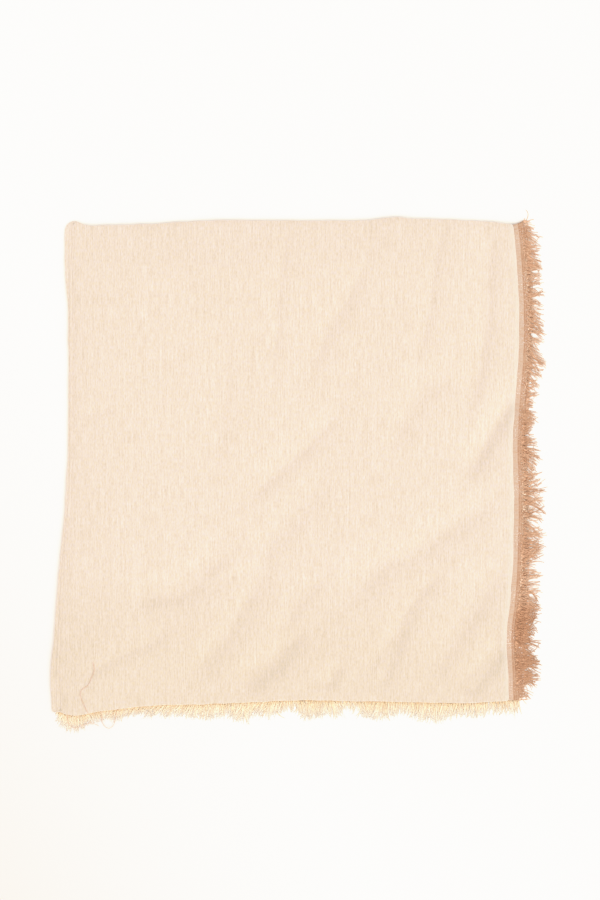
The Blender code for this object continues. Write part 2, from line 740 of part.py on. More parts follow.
def main():
    """Clear the scene and build every piece of the folded scarf."""
    for old in list(bpy.data.objects):
        bpy.data.objects.remove(old, do_unlink=True)
    cloth = new_material("body_cloth")
    band = new_material("woven_band")
    brown = new_material("side_fringe")
    cream = new_material("end_fringe")

    build_top_cloth(cloth)
    build_hidden_layers(cloth)
    build_selvedge_upper(band)
    build_selvedge_lower(band)
    upper_roots = side_roots(SIDE_FRINGE_UPPER, END_CLEARANCE, 1.0)
    lower_roots = side_roots(SIDE_FRINGE_LOWER, END_CLEARANCE + LOWER_BANDS_SHORTER, LOWER_ROOT_SHARE)
    build_fringe("side_fringe_upper", SIDE_FRINGE_UPPER, upper_roots, brown)
    build_fringe("side_fringe_lower", SIDE_FRINGE_LOWER, lower_roots, brown)
    build_fringe("end_fringe", END_FRINGE, end_roots(), cream)


main()
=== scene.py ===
"""Looks of the folded lurex scarf: its cloth, woven bands, fringes and loose thread, on a pale surface.

The stole is folded once across its width and twice along its length and lies flat. Each class below makes
one stretch of it that shows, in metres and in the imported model's frame: X to the right, Y towards the rolled
top edge, Z up from the surface.
"""
import logging
import math
from dataclasses import dataclass, field, replace
from enum import Enum
from typing import NamedTuple, Sequence

import bpy
import numpy as np
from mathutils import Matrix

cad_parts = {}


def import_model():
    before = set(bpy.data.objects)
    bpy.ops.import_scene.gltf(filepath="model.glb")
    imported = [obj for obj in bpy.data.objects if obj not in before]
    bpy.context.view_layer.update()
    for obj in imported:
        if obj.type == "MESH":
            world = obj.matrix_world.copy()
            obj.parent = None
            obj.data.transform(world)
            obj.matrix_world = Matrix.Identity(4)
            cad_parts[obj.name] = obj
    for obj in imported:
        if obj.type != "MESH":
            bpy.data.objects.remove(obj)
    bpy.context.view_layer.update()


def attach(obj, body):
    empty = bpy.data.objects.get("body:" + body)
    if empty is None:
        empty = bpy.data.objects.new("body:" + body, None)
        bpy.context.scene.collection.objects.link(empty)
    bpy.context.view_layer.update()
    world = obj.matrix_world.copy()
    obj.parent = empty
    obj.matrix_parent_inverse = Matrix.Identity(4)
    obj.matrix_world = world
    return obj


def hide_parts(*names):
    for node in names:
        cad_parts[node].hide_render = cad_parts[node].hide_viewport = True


LOG = logging.getLogger("lurex_scarf")
BODY = "root"
CLOTH_UV = "cloth"              # map of every piece: metres across and along the threads
SELVEDGE = "selvedge"           # attribute of the body cloth: 1 at the woven band, 0 away from it

Colour = tuple[float, float, float]
Span = tuple[float, float]


# ---- Tables of the folded packet, as its solids have them ----

class LeftRow(NamedTuple):
    """How far the stacked folds reach at the left."""

    y: float
    top_fold: float
    second_fold: float
    third_fold: float


class EdgeRow(NamedTuple):
    """How far an edge reaches at a place along it."""

    place: float
    reach: float


class HeightRow(NamedTuple):
    """Height of the packet's top at a share of the way up it, from the left to the right."""

    v: float
    left: float
    inner_left: float
    middle: float
    inner_right: float
    right: float


class Turn(NamedTuple):
    """How the top cloth turns down over an edge."""

    reach: float
    half_height: float
    end_angle: float


class Layer(NamedTuple):
    """Which left fold a layer follows, and how far it stays inside the top cloth on the other sides."""

    fold: str
    top: float = 0.0
    right: float = 0.0
    bottom: float = 0.0


class Crease(NamedTuple):
    """A soft trough in the top cloth, whose right-hand flank, seen along its path, lies in the shade."""

    path: tuple[tuple[float, float], ...]
    depth: float
    lit_flank: float
    shaded_flank: float
    crispness: float


class LockRow(NamedTuple):
    """How a fringe lies at a place along its edge: where its tips reach, its slant and its fullness."""

    place: float
    reach: float
    slant: float
    fullness: float


class Grain(NamedTuple):
    """A noise on the thread map, which may be drawn out along the threads or across them.

    Attributes:
        across: its features for each metre across.
        along: its features for each metre along.
        offset: a shift that sets it apart from the others.
        detail: how many finer octaves it has.
        weight: how much it counts.
    """

    across: float
    along: float
    offset: float
    detail: float = 1.0
    weight: float = 1.0


def table(kind: type, *rows: tuple) -> tuple:
    """Return a table whose rows are all of one kind."""
    return tuple(kind(*row) for row in rows)


LEFT_EDGE = table(
    LeftRow,
    (-0.2470, -0.2450, -0.2500, -0.2545),
    (-0.2050, -0.2462, -0.2500, -0.2558),
    (-0.1680, -0.2450, -0.2480, -0.2520),
    (-0.1160, -0.2430, -0.2455, -0.2486),
    (-0.0700, -0.2390, -0.2412, -0.2440),
    (-0.0230, -0.2338, -0.2370, -0.2402),
    (+0.0350, -0.2328, -0.2356, -0.2376),
    (+0.1700, -0.2325, -0.2358, -0.2378),
    (+0.2050, -0.2332, -0.2362, -0.2405),
    (+0.2560, -0.2345, -0.2368, -0.2408),
)
RIGHT_EDGE = table(
    EdgeRow,
    (-0.2350, 0.2168), (-0.2065, 0.2161), (-0.1770, 0.2146), (-0.1580, 0.2150), (-0.1355, 0.2178),
    (-0.1035, 0.2203), (-0.0283, 0.2220), (+0.0340, 0.2209), (+0.0953, 0.2251), (+0.1313, 0.2271),
    (+0.1780, 0.2271), (+0.2292, 0.2240), (+0.2560, 0.2213),
)
TOP_EDGE = table(
    EdgeRow,
    (-0.2400, 0.2590), (-0.2290, 0.2592), (-0.2210, 0.2556), (-0.2040, 0.2549), (-0.1500, 0.2565),
    (-0.1107, 0.2590), (-0.0860, 0.2600), (+0.0685, 0.2601), (+0.0994, 0.2632), (+0.1150, 0.2621),
    (+0.1457, 0.2611), (+0.1920, 0.2590), (+0.2213, 0.2560),
)
BOTTOM_EDGE = table(
    EdgeRow,
    (-0.2468, -0.2480), (-0.2300, -0.2507), (-0.2160, -0.2480), (-0.1940, -0.2448), (-0.1530, -0.2407),
    (-0.1014, -0.2390), (-0.0400, -0.2365), (+0.0015, -0.2351), (+0.0798, -0.2361), (+0.1396, -0.2374),
    (+0.1766, -0.2377), (+0.2168, -0.2350),
)
PACKET_HEIGHT = table(
    HeightRow,
    (0.00, 0.0048, 0.0040, 0.0037, 0.0037, 0.0040),
    (0.12, 0.0066, 0.0086, 0.0084, 0.0078, 0.0064),
    (0.50, 0.0066, 0.0088, 0.0086, 0.0086, 0.0072),
    (0.88, 0.0068, 0.0091, 0.0090, 0.0082, 0.0062),
    (1.00, 0.0046, 0.0038, 0.0038, 0.0038, 0.0042),
)
HEIGHT_COLUMNS = (0.00, 0.12, 0.50, 0.88, 1.00)
CREASE_ROUNDING = 0.0012        # radius at the bottom of the sharpest crease
CREASE_FADE = 0.22              # share of a crease's length over which it deepens from each end
CREASE_END = 0.15               # share of its depth that a crease has at its very ends

CREASES = table(
    Crease,
    (((-0.0273, 0.1087), (-0.0211, 0.1468), (-0.0232, 0.1653), (-0.0191, 0.1911),
      (-0.0118, 0.2580)),
     0.00034, 0.0080, 0.0040, 1.4),
    (((0.0129, 0.1035), (0.0211, 0.1241), (0.0314, 0.1488), (0.0479, 0.1736), (0.0633, 0.2034),
      (0.0716, 0.2209)),
     0.00066, 0.0160, 0.0075, 1.25),
    (((-0.0551, -0.0304), (-0.0201, 0.0015), (0.0057, 0.0232), (0.0201, 0.0386), (0.0407, 0.0633)),
     0.00072, 0.0180, 0.0085, 1.25),
    (((-0.0520, -0.0973), (-0.0294, -0.0716), (-0.0067, -0.0489), (0.0088, -0.0283),
      (0.0242, 0.0026)),
     0.00052, 0.0160, 0.0120, 2.0),
    (((-0.1787, -0.1282), (-0.1530, -0.1272), (-0.1272, -0.1231), (-0.1015, -0.1056),
      (-0.0706, -0.0747)),
     0.00075, 0.0180, 0.0100, 1.8),
    (((-0.1354, -0.1354), (-0.0912, -0.1159), (-0.0324, -0.0942)), 0.00030, 0.0050, 0.0140, 1.6),
    (((-0.1221, -0.2096), (-0.1015, -0.1993), (-0.0788, -0.1746), (-0.0603, -0.1437),
      (-0.0448, -0.1159), (-0.0314, -0.0922)),
     0.00080, 0.0120, 0.0140, 1.5),
    (((-0.0211, -0.1725), (-0.0108, -0.1488), (0.0098, -0.1210), (0.0252, -0.1056)),
     0.00040, 0.0120, 0.0070, 1.7),
    (((-0.0644, -0.2148), (-0.0438, -0.2003), (-0.0160, -0.1828), (0.0098, -0.1602)),
     0.00112, 0.0140, 0.0110, 1.4),
    (((-0.0603, -0.2220), (-0.0335, -0.2075), (-0.0088, -0.1890)), 0.00060, 0.0080, 0.0090, 1.7),
    (((0.0283, -0.2240), (0.0355, -0.2096), (0.0438, -0.1972)), 0.00060, 0.0080, 0.0050, 1.6),
    (((0.0675, -0.2137), (0.0819, -0.1911), (0.0963, -0.1705), (0.1118, -0.1437),
      (0.1272, -0.1210), (0.1530, -0.0984)),
     0.00076, 0.0150, 0.0080, 1.2),
    (((0.0839, -0.2261), (0.0922, -0.2014), (0.1025, -0.1777), (0.1107, -0.1540)),
     0.00050, 0.0070, 0.0060, 1.6),
    (((0.1334, -0.2158), (0.1612, -0.1694), (0.1911, -0.1231), (0.2075, -0.0922)),
     0.00090, 0.0220, 0.0120, 1.8),
    (((0.1684, -0.2302), (0.1890, -0.2045), (0.2096, -0.1828), (0.2199, -0.1725)),
     0.00125, 0.0200, 0.0100, 1.5),
    (((0.1705, -0.0098), (0.1787, 0.0040), (0.1942, 0.0335), (0.2045, 0.0500), (0.2209, 0.0706),
      (0.2405, 0.0994)),
     0.00150, 0.0145, 0.0095, 1.45),
    (((0.0407, -0.1354), (0.0613, -0.1179), (0.0870, -0.0932), (0.1128, -0.0860),
      (0.1385, -0.0695), (0.1694, -0.0479), (0.1900, -0.0335), (0.2178, -0.0221)),
     0.00086, 0.0180, 0.0150, 1.6),
    (((0.0963, 0.0232), (0.1076, 0.0572)), 0.00025, 0.0080, 0.0050, 1.6),
    (((0.1025, 0.0335), (0.1169, 0.0664), (0.1272, 0.0870), (0.1457, 0.0932), (0.1684, 0.0932)),
     0.00052, 0.0160, 0.0120, 1.8),
    (((0.1663, 0.0458), (0.1787, 0.0767), (0.1869, 0.1107), (0.1931, 0.1550), (0.1952, 0.2065),
      (0.1962, 0.2621)),
     0.00095, 0.0160, 0.0080, 1.6),
    (((0.1231, 0.1076), (0.1262, 0.1313), (0.1354, 0.1725), (0.1406, 0.2168), (0.1488, 0.2621)),
     0.00044, 0.0100, 0.0045, 1.4),
    (((-0.2251, -0.2240), (-0.2096, -0.2024), (-0.1859, -0.1900), (-0.1509, -0.1756),
      (-0.1313, -0.1540)),
     0.00036, 0.0120, 0.0045, 1.4),
    (((-0.0881, -0.0015), (-0.0778, 0.0870), (-0.0829, 0.1396)), 0.00036, 0.0140, 0.0100, 1.8),
    (((-0.2199, 0.0603), (-0.1890, 0.0675)), 0.00018, 0.0060, 0.0040, 1.6),
)

# Fullness also darkens the strands: the high values from +0.072 to +0.014 and from -0.141 to -0.219 are partly
# painted shade, where the creases' shade falls across the band and fringe.
SIDE_LOCKS = table(
    LockRow,
    (+0.2560, 0.2485, +20, 1.00), (+0.2530, 0.2460, +4, 1.00), (+0.2500, 0.2440, -5, 1.00),
    (+0.2470, 0.2470, -12, 0.90), (+0.2440, 0.2510, -28, 1.30), (+0.2400, 0.2465, -40, 1.30),
    (+0.2360, 0.2470, -40, 1.30), (+0.227, 0.2500, -28, 1.30), (+0.212, 0.2525, -14, 1.15),
    (+0.195, 0.2540, -10, 0.90), (+0.184, 0.2550, -12, 0.90), (+0.174, 0.2530, -26, 1.00),
    (+0.164, 0.2550, -20, 1.15), (+0.154, 0.2560, -30, 1.20), (+0.144, 0.2550, -18, 0.45),
    (+0.133, 0.2520, -38, 1.00), (+0.121, 0.2540, -42, 1.00), (+0.109, 0.2530, -38, 1.00),
    (+0.098, 0.2500, -34, 0.75), (+0.090, 0.2465, -8, 0.60), (+0.081, 0.2495, -5, 0.90),
    (+0.072, 0.2440, -8, 1.20), (+0.060, 0.2450, -30, 1.40), (+0.050, 0.2450, -5, 1.35),
    (+0.036, 0.2430, -8, 1.40), (+0.024, 0.2525, -8, 1.30), (+0.014, 0.2485, -30, 1.30),
    (+0.006, 0.2450, -30, 0.80), (-0.001, 0.2505, -22, 0.98), (-0.008, 0.2470, +2, 1.22),
    (-0.017, 0.2565, -2, 1.04), (-0.027, 0.2555, -14, 0.98), (-0.036, 0.2560, -5, 0.98),
    (-0.045, 0.2560, -18, 0.92), (-0.055, 0.2500, -40, 0.85), (-0.063, 0.2560, -8, 0.98),
    (-0.070, 0.2560, +3, 1.20), (-0.078, 0.2520, 0, 1.35), (-0.086, 0.2550, +9, 1.30),
    (-0.093, 0.2540, +17, 1.10), (-0.102, 0.2480, 0, 0.95), (-0.110, 0.2540, +5, 0.95),
    (-0.119, 0.2535, 0, 1.00), (-0.128, 0.2525, -11, 1.15), (-0.141, 0.2515, -9, 1.70),
    (-0.154, 0.2500, 8, 1.85), (-0.165, 0.2500, -5, 1.85), (-0.174, 0.2490, 0, 1.75),
    (-0.184, 0.2500, -30, 1.70), (-0.194, 0.2500, -12, 1.70), (-0.202, 0.2500, -4, 1.70),
    (-0.210, 0.2490, -10, 1.60), (-0.219, 0.2500, +22, 1.50), (-0.227, 0.2420, -18, 0.80),
    (-0.235, 0.2375, -36, 0.60),
)

END_LOCKS = table(
    LockRow,
    (-0.249, -0.2520, -15, 0.60), (-0.242, -0.2620, -12, 0.90), (-0.231, -0.2675, -2, 1.00),
    (-0.221, -0.2620, +20, 0.90), (-0.210, -0.2590, +24, 0.70), (-0.198, -0.2568, +5, 0.60),
    (-0.186, -0.2580, -20, 0.90), (-0.174, -0.2538, -35, 0.80), (-0.153, -0.2545, -42, 0.80),
    (-0.130, -0.2545, -42, 0.90), (-0.112, -0.2540, -28, 0.90), (-0.093, -0.2540, -8, 1.00),
    (-0.073, -0.2550, -5, 0.65), (-0.056, -0.2572, -12, 1.00), (-0.038, -0.2530, -32, 0.80),
    (-0.023, -0.2540, -24, 0.90), (-0.007, -0.2505, +10, 0.45), (+0.008, -0.2545, 0, 0.90),
    (+0.024, -0.2540, -5, 0.90), (+0.037, -0.2540, +20, 0.80), (+0.047, -0.2480, +5, 0.40),
    (+0.059, -0.2530, +36, 0.80), (+0.074, -0.2520, -10, 1.00), (+0.090, -0.2548, -5, 1.00),
    (+0.105, -0.2520, 0, 0.45), (+0.121, -0.2545, -10, 0.85), (+0.138, -0.2580, -5, 0.90),
    (+0.154, -0.2560, -10, 0.90), (+0.168, -0.2555, 0, 0.60), (+0.183, -0.2558, -2, 0.65),
    (+0.199, -0.2545, +5, 0.45), (+0.216, -0.2545, +5, 0.40), (+0.227, -0.2545, 0, 0.45),
)

LOOSE_THREAD = (
    (-0.2117, -0.1952), (-0.2106, -0.2034), (-0.2131, -0.2106), (-0.2168, -0.2189), (-0.2230, -0.2235),
    (-0.2251, -0.2281), (-0.2230, -0.2354), (-0.2199, -0.2426), (-0.2172, -0.2480),
)
LOOSE_THREAD_LOOP = (
    (-0.2030, -0.2440), (-0.2035, -0.2510), (-0.2024, -0.2580), (-0.1993, -0.2625), (-0.1950, -0.2638),
    (-0.1912, -0.2610), (-0.1890, -0.2550), (-0.1880, -0.2490), (-0.1872, -0.2430),
)
CORNER_THREAD_LOOP = (
    (-0.2390, -0.2490), (-0.2380, -0.2560), (-0.2340, -0.2625), (-0.2270, -0.2630), (-0.2200, -0.2600),
    (-0.2130, -0.2585), (-0.2060, -0.2615),
)


# ---- Curves and noise ----

def smooth_curve(places: Sequence[float], values: Sequence[float], at: np.ndarray) -> np.ndarray:
    """Read a smooth curve through a table, held level past both its ends.

    Args:
        places: the table's positions, rising.
        values: the values at those positions.
        at: the positions to read.

    Returns:
        The curve's values, one for each position that is read.
    """
    x = np.asarray(places, float)
    y = np.asarray(values, float)
    before, after = np.arange(len(x)) - 1, np.arange(len(x)) + 1
    before[0], after[-1] = 0, len(x) - 1
    slope = (y[after] - y[before]) / (x[after] - x[before])
    position = np.clip(at, x[0], x[-1])
    index = np.clip(np.searchsorted(x, position, side="right") - 1, 0, len(x) - 2)
    span = x[index + 1] - x[index]
    t = (position - x[index]) / span
    start = (1 + 2 * t) * (1 - t) ** 2 * y[index] + t * (1 - t) ** 2 * span * slope[index]
    end = t * t * (3 - 2 * t) * y[index + 1] + t * t * (t - 1) * span * slope[index + 1]
    return start + end


def table_curve(rows: Sequence[NamedTuple], column: str, at: np.ndarray) -> np.ndarray:
    """Read the smooth curve of one of a table's columns over its first one.

    Args:
        rows: the table.
        column: the column's name.
        at: the positions to read.

    Returns:
        The column's values there.
    """
    found = sorted((row[0], getattr(row, column)) for row in rows)
    return smooth_curve([place for place, _ in found], [value for _, value in found], at)


def smooth_step(share: np.ndarray) -> np.ndarray:
    """Return a soft rise from 0 to 1."""
    held = np.clip(share, 0.0, 1.0)
    return held * held * (3 - 2 * held)


@dataclass(frozen=True)
class Ripple:
    """A seeded sum of plane waves, for the small unevenness that no single crease makes.

    Attributes:
        amplitude: its usual height in metres.
        shortest: its shortest wavelength.
        longest: its longest wavelength.
        waves: how many waves it adds up.
        seed: what its directions and phases are drawn from.
        stretch: how much longer its waves are along the warp than across it.
    """

    amplitude: float
    shortest: float
    longest: float
    waves: int
    seed: int
    stretch: float = 1.0

    def at(self, x: np.ndarray, y: np.ndarray) -> np.ndarray:
        """Read the ripple.

        Args:
            x: the points' X.
            y: the points' Y.

        Returns:
            The ripple's height at each point.
        """
        rng = np.random.default_rng(self.seed)
        total = np.zeros(np.shape(x))
        for _ in range(self.waves):
            length = math.exp(rng.uniform(math.log(self.shortest), math.log(self.longest)))
            heading = rng.uniform(0.0, math.pi)
            phase = rng.uniform(0.0, 2 * math.pi)
            run = x * math.cos(heading) + y * math.sin(heading) / self.stretch
            total = total + np.sin(2 * math.pi * run / length + phase)
        return total * self.amplitude * math.sqrt(2.0 / self.waves)


def crease_relief(x: np.ndarray, y: np.ndarray) -> np.ndarray:
    """Work out how deep the table's creases are.

    Args:
        x: the points' X.
        y: the points' Y.

    Returns:
        The depth at each point.
    """
    total = np.zeros(np.shape(x))
    points = np.stack([x, y], axis=-1)
    for crease in CREASES:
        path = np.asarray(crease.path)
        runs = path[1:] - path[:-1]
        lengths = np.linalg.norm(runs, axis=1)
        starts = np.concatenate([[0.0], np.cumsum(lengths)[:-1]])
        nearest = np.full(np.shape(x), np.inf)
        side = np.ones(np.shape(x))
        along = np.zeros(np.shape(x))
        for start, run, length, offset in zip(path, runs, lengths, starts):
            to_point = points - start
            share = np.clip(to_point @ run / length ** 2, 0.0, 1.0)
            away = np.linalg.norm(to_point - share[..., None] * run, axis=-1)
            turn = to_point[..., 0] * run[1] - to_point[..., 1] * run[0]
            closer = away < nearest
            nearest = np.where(closer, away, nearest)
            side = np.where(closer, np.sign(turn), side)
            along = np.where(closer, (offset + share * length) / lengths.sum(), along)
        flank = np.where(side > 0, crease.shaded_flank, crease.lit_flank)
        ends = smooth_step(along / CREASE_FADE) * smooth_step((1 - along) / CREASE_FADE)
        ends = ends * (1 - CREASE_END) + CREASE_END
        away = np.sqrt(nearest ** 2 + CREASE_ROUNDING ** 2) - CREASE_ROUNDING
        total += crease.depth * ends * np.exp(-(away / flank) ** crease.crispness)
    return total


# ---- Meshes ----

def make_piece(name: str, points: np.ndarray, faces: Sequence, uv: np.ndarray) -> bpy.types.Object:
    """Make an object of points and faces, with its thread map.

    Args:
        name: the piece's name.
        points: its vertices, one row each.
        faces: its faces, as rows of vertex numbers.
        uv: each vertex's place on the thread map.

    Returns:
        The object, shaded smooth, at the origin.
    """
    mesh = bpy.data.meshes.new(name)
    mesh.from_pydata(points.tolist(), [], faces)
    mesh.update()
    corner_vertex = np.empty(len(mesh.loops), np.int32)
    mesh.loops.foreach_get("vertex_index", corner_vertex)
    layer = mesh.uv_layers.new(name=CLOTH_UV)
    layer.data.foreach_set("uv", uv[corner_vertex].astype(np.float32).ravel())
    mesh.shade_smooth()
    piece = bpy.data.objects.new(name, mesh)
    bpy.context.scene.collection.objects.link(piece)
    return piece


def select_only(piece: bpy.types.Object) -> None:
    """Select a piece and nothing else.

    Args:
        piece: the piece.
    """
    bpy.ops.object.select_all(action="DESELECT")
    piece.select_set(True)
    bpy.context.view_layer.objects.active = piece


def apply_wall(piece: bpy.types.Object, thickness: float) -> None:
    """Give an open sheet its wall, inwards from its outer face.

    Args:
        piece: the sheet.
        thickness: the wall's thickness.
    """
    wall = piece.modifiers.new("wall", "SOLIDIFY")
    wall.thickness = thickness
    wall.offset = -1.0
    wall.use_quality_normals = True
    select_only(piece)
    bpy.ops.object.modifier_apply(modifier=wall.name)


def point_outwards(piece: bpy.types.Object) -> None:
    """Turn a closed piece's faces outwards.

    Args:
        piece: the piece.
    """
    select_only(piece)
    bpy.ops.object.mode_set(mode="EDIT")
    bpy.ops.mesh.select_all(action="SELECT")
    bpy.ops.mesh.normals_make_consistent(inside=False)
    bpy.ops.object.mode_set(mode="OBJECT")


def grid_faces(across: int, along: int, first: int = 0) -> list[tuple[int, int, int, int]]:
    """Number the quads of a grid of points.

    Args:
        across: points across.
        along: points along.
        first: number of the grid's first point.

    Returns:
        The quads, wound to face up for a grid whose rows run along X and then Y.
    """
    faces = []
    for row in range(along - 1):
        start = first + row * across
        for k in range(start, start + across - 1):
            faces.append((k, k + 1, k + 1 + across, k + across))
    return faces


def ring_faces(upper: np.ndarray, lower: np.ndarray) -> list[tuple[int, int, int, int]]:
    """Number the quads between two closed rings that run counterclockwise, seen from above.

    Args:
        upper: vertex numbers of the upper ring.
        lower: vertex numbers of the lower ring.

    Returns:
        The quads, facing outwards.
    """
    return list(zip(upper, lower, np.roll(lower, -1), np.roll(upper, -1)))


def tube_piece(name: str, paths: np.ndarray, radii: np.ndarray, shades: np.ndarray,
               sides: int = 3, flatness: float | np.ndarray = 1.0) -> bpy.types.Object:
    """Make many thin closed tubes as one mesh.

    Args:
        name: the piece's name.
        paths: the strands' centre lines: strand, step, coordinate.
        radii: their radii: strand, step.
        shades: a number from 0 to 1 for each strand, which its colour follows.
        sides: faces round each tube.
        flatness: height of its section as a share of its width, one for all or one for each strand.

    Returns:
        The object. Its thread map holds the strand's shade and the share of its length.
    """
    strands, steps, _ = paths.shape
    tangent = np.gradient(paths, axis=1)
    tangent /= np.linalg.norm(tangent, axis=2, keepdims=True) + 1e-12
    sideways = np.cross(tangent, np.array([0.0, 0.0, 1.0]))
    sideways /= np.linalg.norm(sideways, axis=2, keepdims=True) + 1e-12
    upwards = np.cross(sideways, tangent)
    turns = np.arange(sides) * 2 * math.pi / sides + math.pi / 2
    ring = (sideways[:, :, None, :] * np.cos(turns)[None, None, :, None]
            + upwards[:, :, None, :] * np.sin(turns)[None, None, :, None]
            * np.asarray(flatness, float).reshape(-1, 1, 1, 1))
    points = paths[:, :, None, :] + ring * radii[:, :, None, None]
    number = np.arange(strands * steps * sides).reshape(strands, steps, sides)
    near, far = number[:, :-1], number[:, 1:]
    quads = np.stack([near, far, np.roll(far, -1, axis=2), np.roll(near, -1, axis=2)], axis=-1)
    faces = quads.reshape(-1, 4).tolist()
    faces += number[:, 0].tolist()
    faces += number[:, -1, ::-1].tolist()
    share = np.linspace(0.0, 1.0, steps)
    uv = np.empty((strands, steps, sides, 2))
    uv[..., 0] = shades[:, None, None]
    uv[..., 1] = share[None, :, None]
    return make_piece(name, points.reshape(-1, 3), faces, uv.reshape(-1, 2))


# ---- Finishes ----

class ShaderGraph:
    """A Principled material that is put together node by node."""

    def __init__(self, name: str) -> None:
        """Start an empty material.

        Args:
            name: the material's name.
        """
        self.material = bpy.data.materials.new(name)
        self.material.use_nodes = True
        self.tree = self.material.node_tree
        self.shader = self.tree.nodes["Principled BSDF"]

    def add(self, kind: str, **settings: object) -> bpy.types.Node:
        """Add a node.

        Args:
            kind: the node's type.
            settings: properties to set on it.

        Returns:
            The node.
        """
        node = self.tree.nodes.new(kind)
        for key, value in settings.items():
            setattr(node, key, value)
        return node

    def feed(self, target: bpy.types.NodeSocket, source: object) -> None:
        """Link a socket to a target, or set the target's own value."""
        if isinstance(source, bpy.types.NodeSocket):
            self.tree.links.new(source, target)
        else:
            target.default_value = source

    def math(self, operation: str, first: object, second: object = 0.0,
             third: object = 0.0) -> bpy.types.NodeSocket:
        """Add a Math node.

        Args:
            operation: what it does.
            first: its first value or socket.
            second: its second one.
            third: its third one.

        Returns:
            Its result.
        """
        node = self.add("ShaderNodeMath", operation=operation)
        for target, source in zip(node.inputs, (first, second, third)):
            self.feed(target, source)
        return node.outputs[0]

    def wave(self, place: object, pitch: float) -> bpy.types.NodeSocket:
        """Return a sine that comes round once in each pitch."""
        return self.math("SINE", self.math("MULTIPLY", place, 2 * math.pi / pitch))

    def threads(self) -> tuple[bpy.types.NodeSocket, bpy.types.NodeSocket]:
        """Read the piece's own thread map.

        Returns:
            The place across the threads and the place along them.
        """
        uv_map = self.add("ShaderNodeUVMap", uv_map=CLOTH_UV)
        parts = self.add("ShaderNodeSeparateXYZ")
        self.tree.links.new(uv_map.outputs[0], parts.inputs[0])
        return parts.outputs[0], parts.outputs[1]

    def attribute(self, name: str) -> bpy.types.NodeSocket:
        """Return the value of one of the piece's own attributes."""
        return self.add("ShaderNodeAttribute", attribute_name=name).outputs["Fac"]

    def noise(self, across: object, along: object, grain: Grain) -> bpy.types.NodeSocket:
        """Add a noise that is stretched along or across the threads.

        Args:
            across: place across the threads.
            along: place along the threads.
            grain: how coarse it is each way.

        Returns:
            The noise, about 0.5 in the middle.
        """
        place = self.add("ShaderNodeCombineXYZ")
        self.feed(place.inputs[0], self.math("MULTIPLY", across, grain.across))
        self.feed(place.inputs[1], self.math("MULTIPLY", along, grain.along))
        place.inputs[2].default_value = grain.offset
        node = self.add("ShaderNodeTexNoise")
        self.tree.links.new(place.outputs[0], node.inputs["Vector"])
        node.inputs["Scale"].default_value = 1.0
        node.inputs["Detail"].default_value = grain.detail
        return node.outputs["Fac"]

    def spread(self, value: object, span: Span, to: Span = (0.0, 1.0)) -> bpy.types.NodeSocket:
        """Map a range of values to another one, held at both its ends.

        Args:
            value: what is mapped.
            span: where its range starts and ends.
            to: what those two become.

        Returns:
            The mapped value.
        """
        node = self.add("ShaderNodeMapRange", clamp=True)
        for target, source in zip(node.inputs, (value, *span, *to)):
            self.feed(target, source)
        return node.outputs[0]

    def mix(self, share: object, first: object, second: object, blend: str = "MIX") -> bpy.types.NodeSocket:
        """Blend two colours.

        Args:
            share: how much of the second one there is.
            first: the first colour.
            second: the second colour.
            blend: how they blend.

        Returns:
            The blended colour.
        """
        node = self.add("ShaderNodeMix", data_type="RGBA", blend_type=blend, clamp_factor=True)
        for target, source in zip((node.inputs[0], node.inputs[6], node.inputs[7]), (share, first, second)):
            self.feed(target, (*source, 1.0) if isinstance(source, tuple) else source)
        return node.outputs[2]

    def tint(self, colour: object, value: object, span: Span, other: object, most: float = 1.0,
             blend: str = "MIX") -> bpy.types.NodeSocket:
        """Turn a colour into another one where a value goes through a range.

        Args:
            colour: the colour.
            value: what it follows.
            span: where the other colour starts, and where there is most of it.
            other: the other colour.
            most: how much of it there is there.
            blend: how they blend.

        Returns:
            The blended colour.
        """
        return self.mix(self.spread(value, span, (0.0, most)), colour, other, blend)

    def bump(self, height: object, distance: float, strength: float) -> None:
        """Raise the surface's normals by a height.

        Args:
            height: the height, about 0 to 1.
            distance: what a height of 1 stands for, in metres.
            strength: how much of it shows.
        """
        node = self.add("ShaderNodeBump")
        node.inputs["Strength"].default_value = strength
        node.inputs["Distance"].default_value = distance
        self.feed(node.inputs["Height"], height)
        self.tree.links.new(node.outputs[0], self.shader.inputs["Normal"])

    def set(self, **values: object) -> None:
        """Set or link the shader's inputs, named with underscores."""
        for key, value in values.items():
            self.feed(self.shader.inputs[key.replace("_", " ")], value)


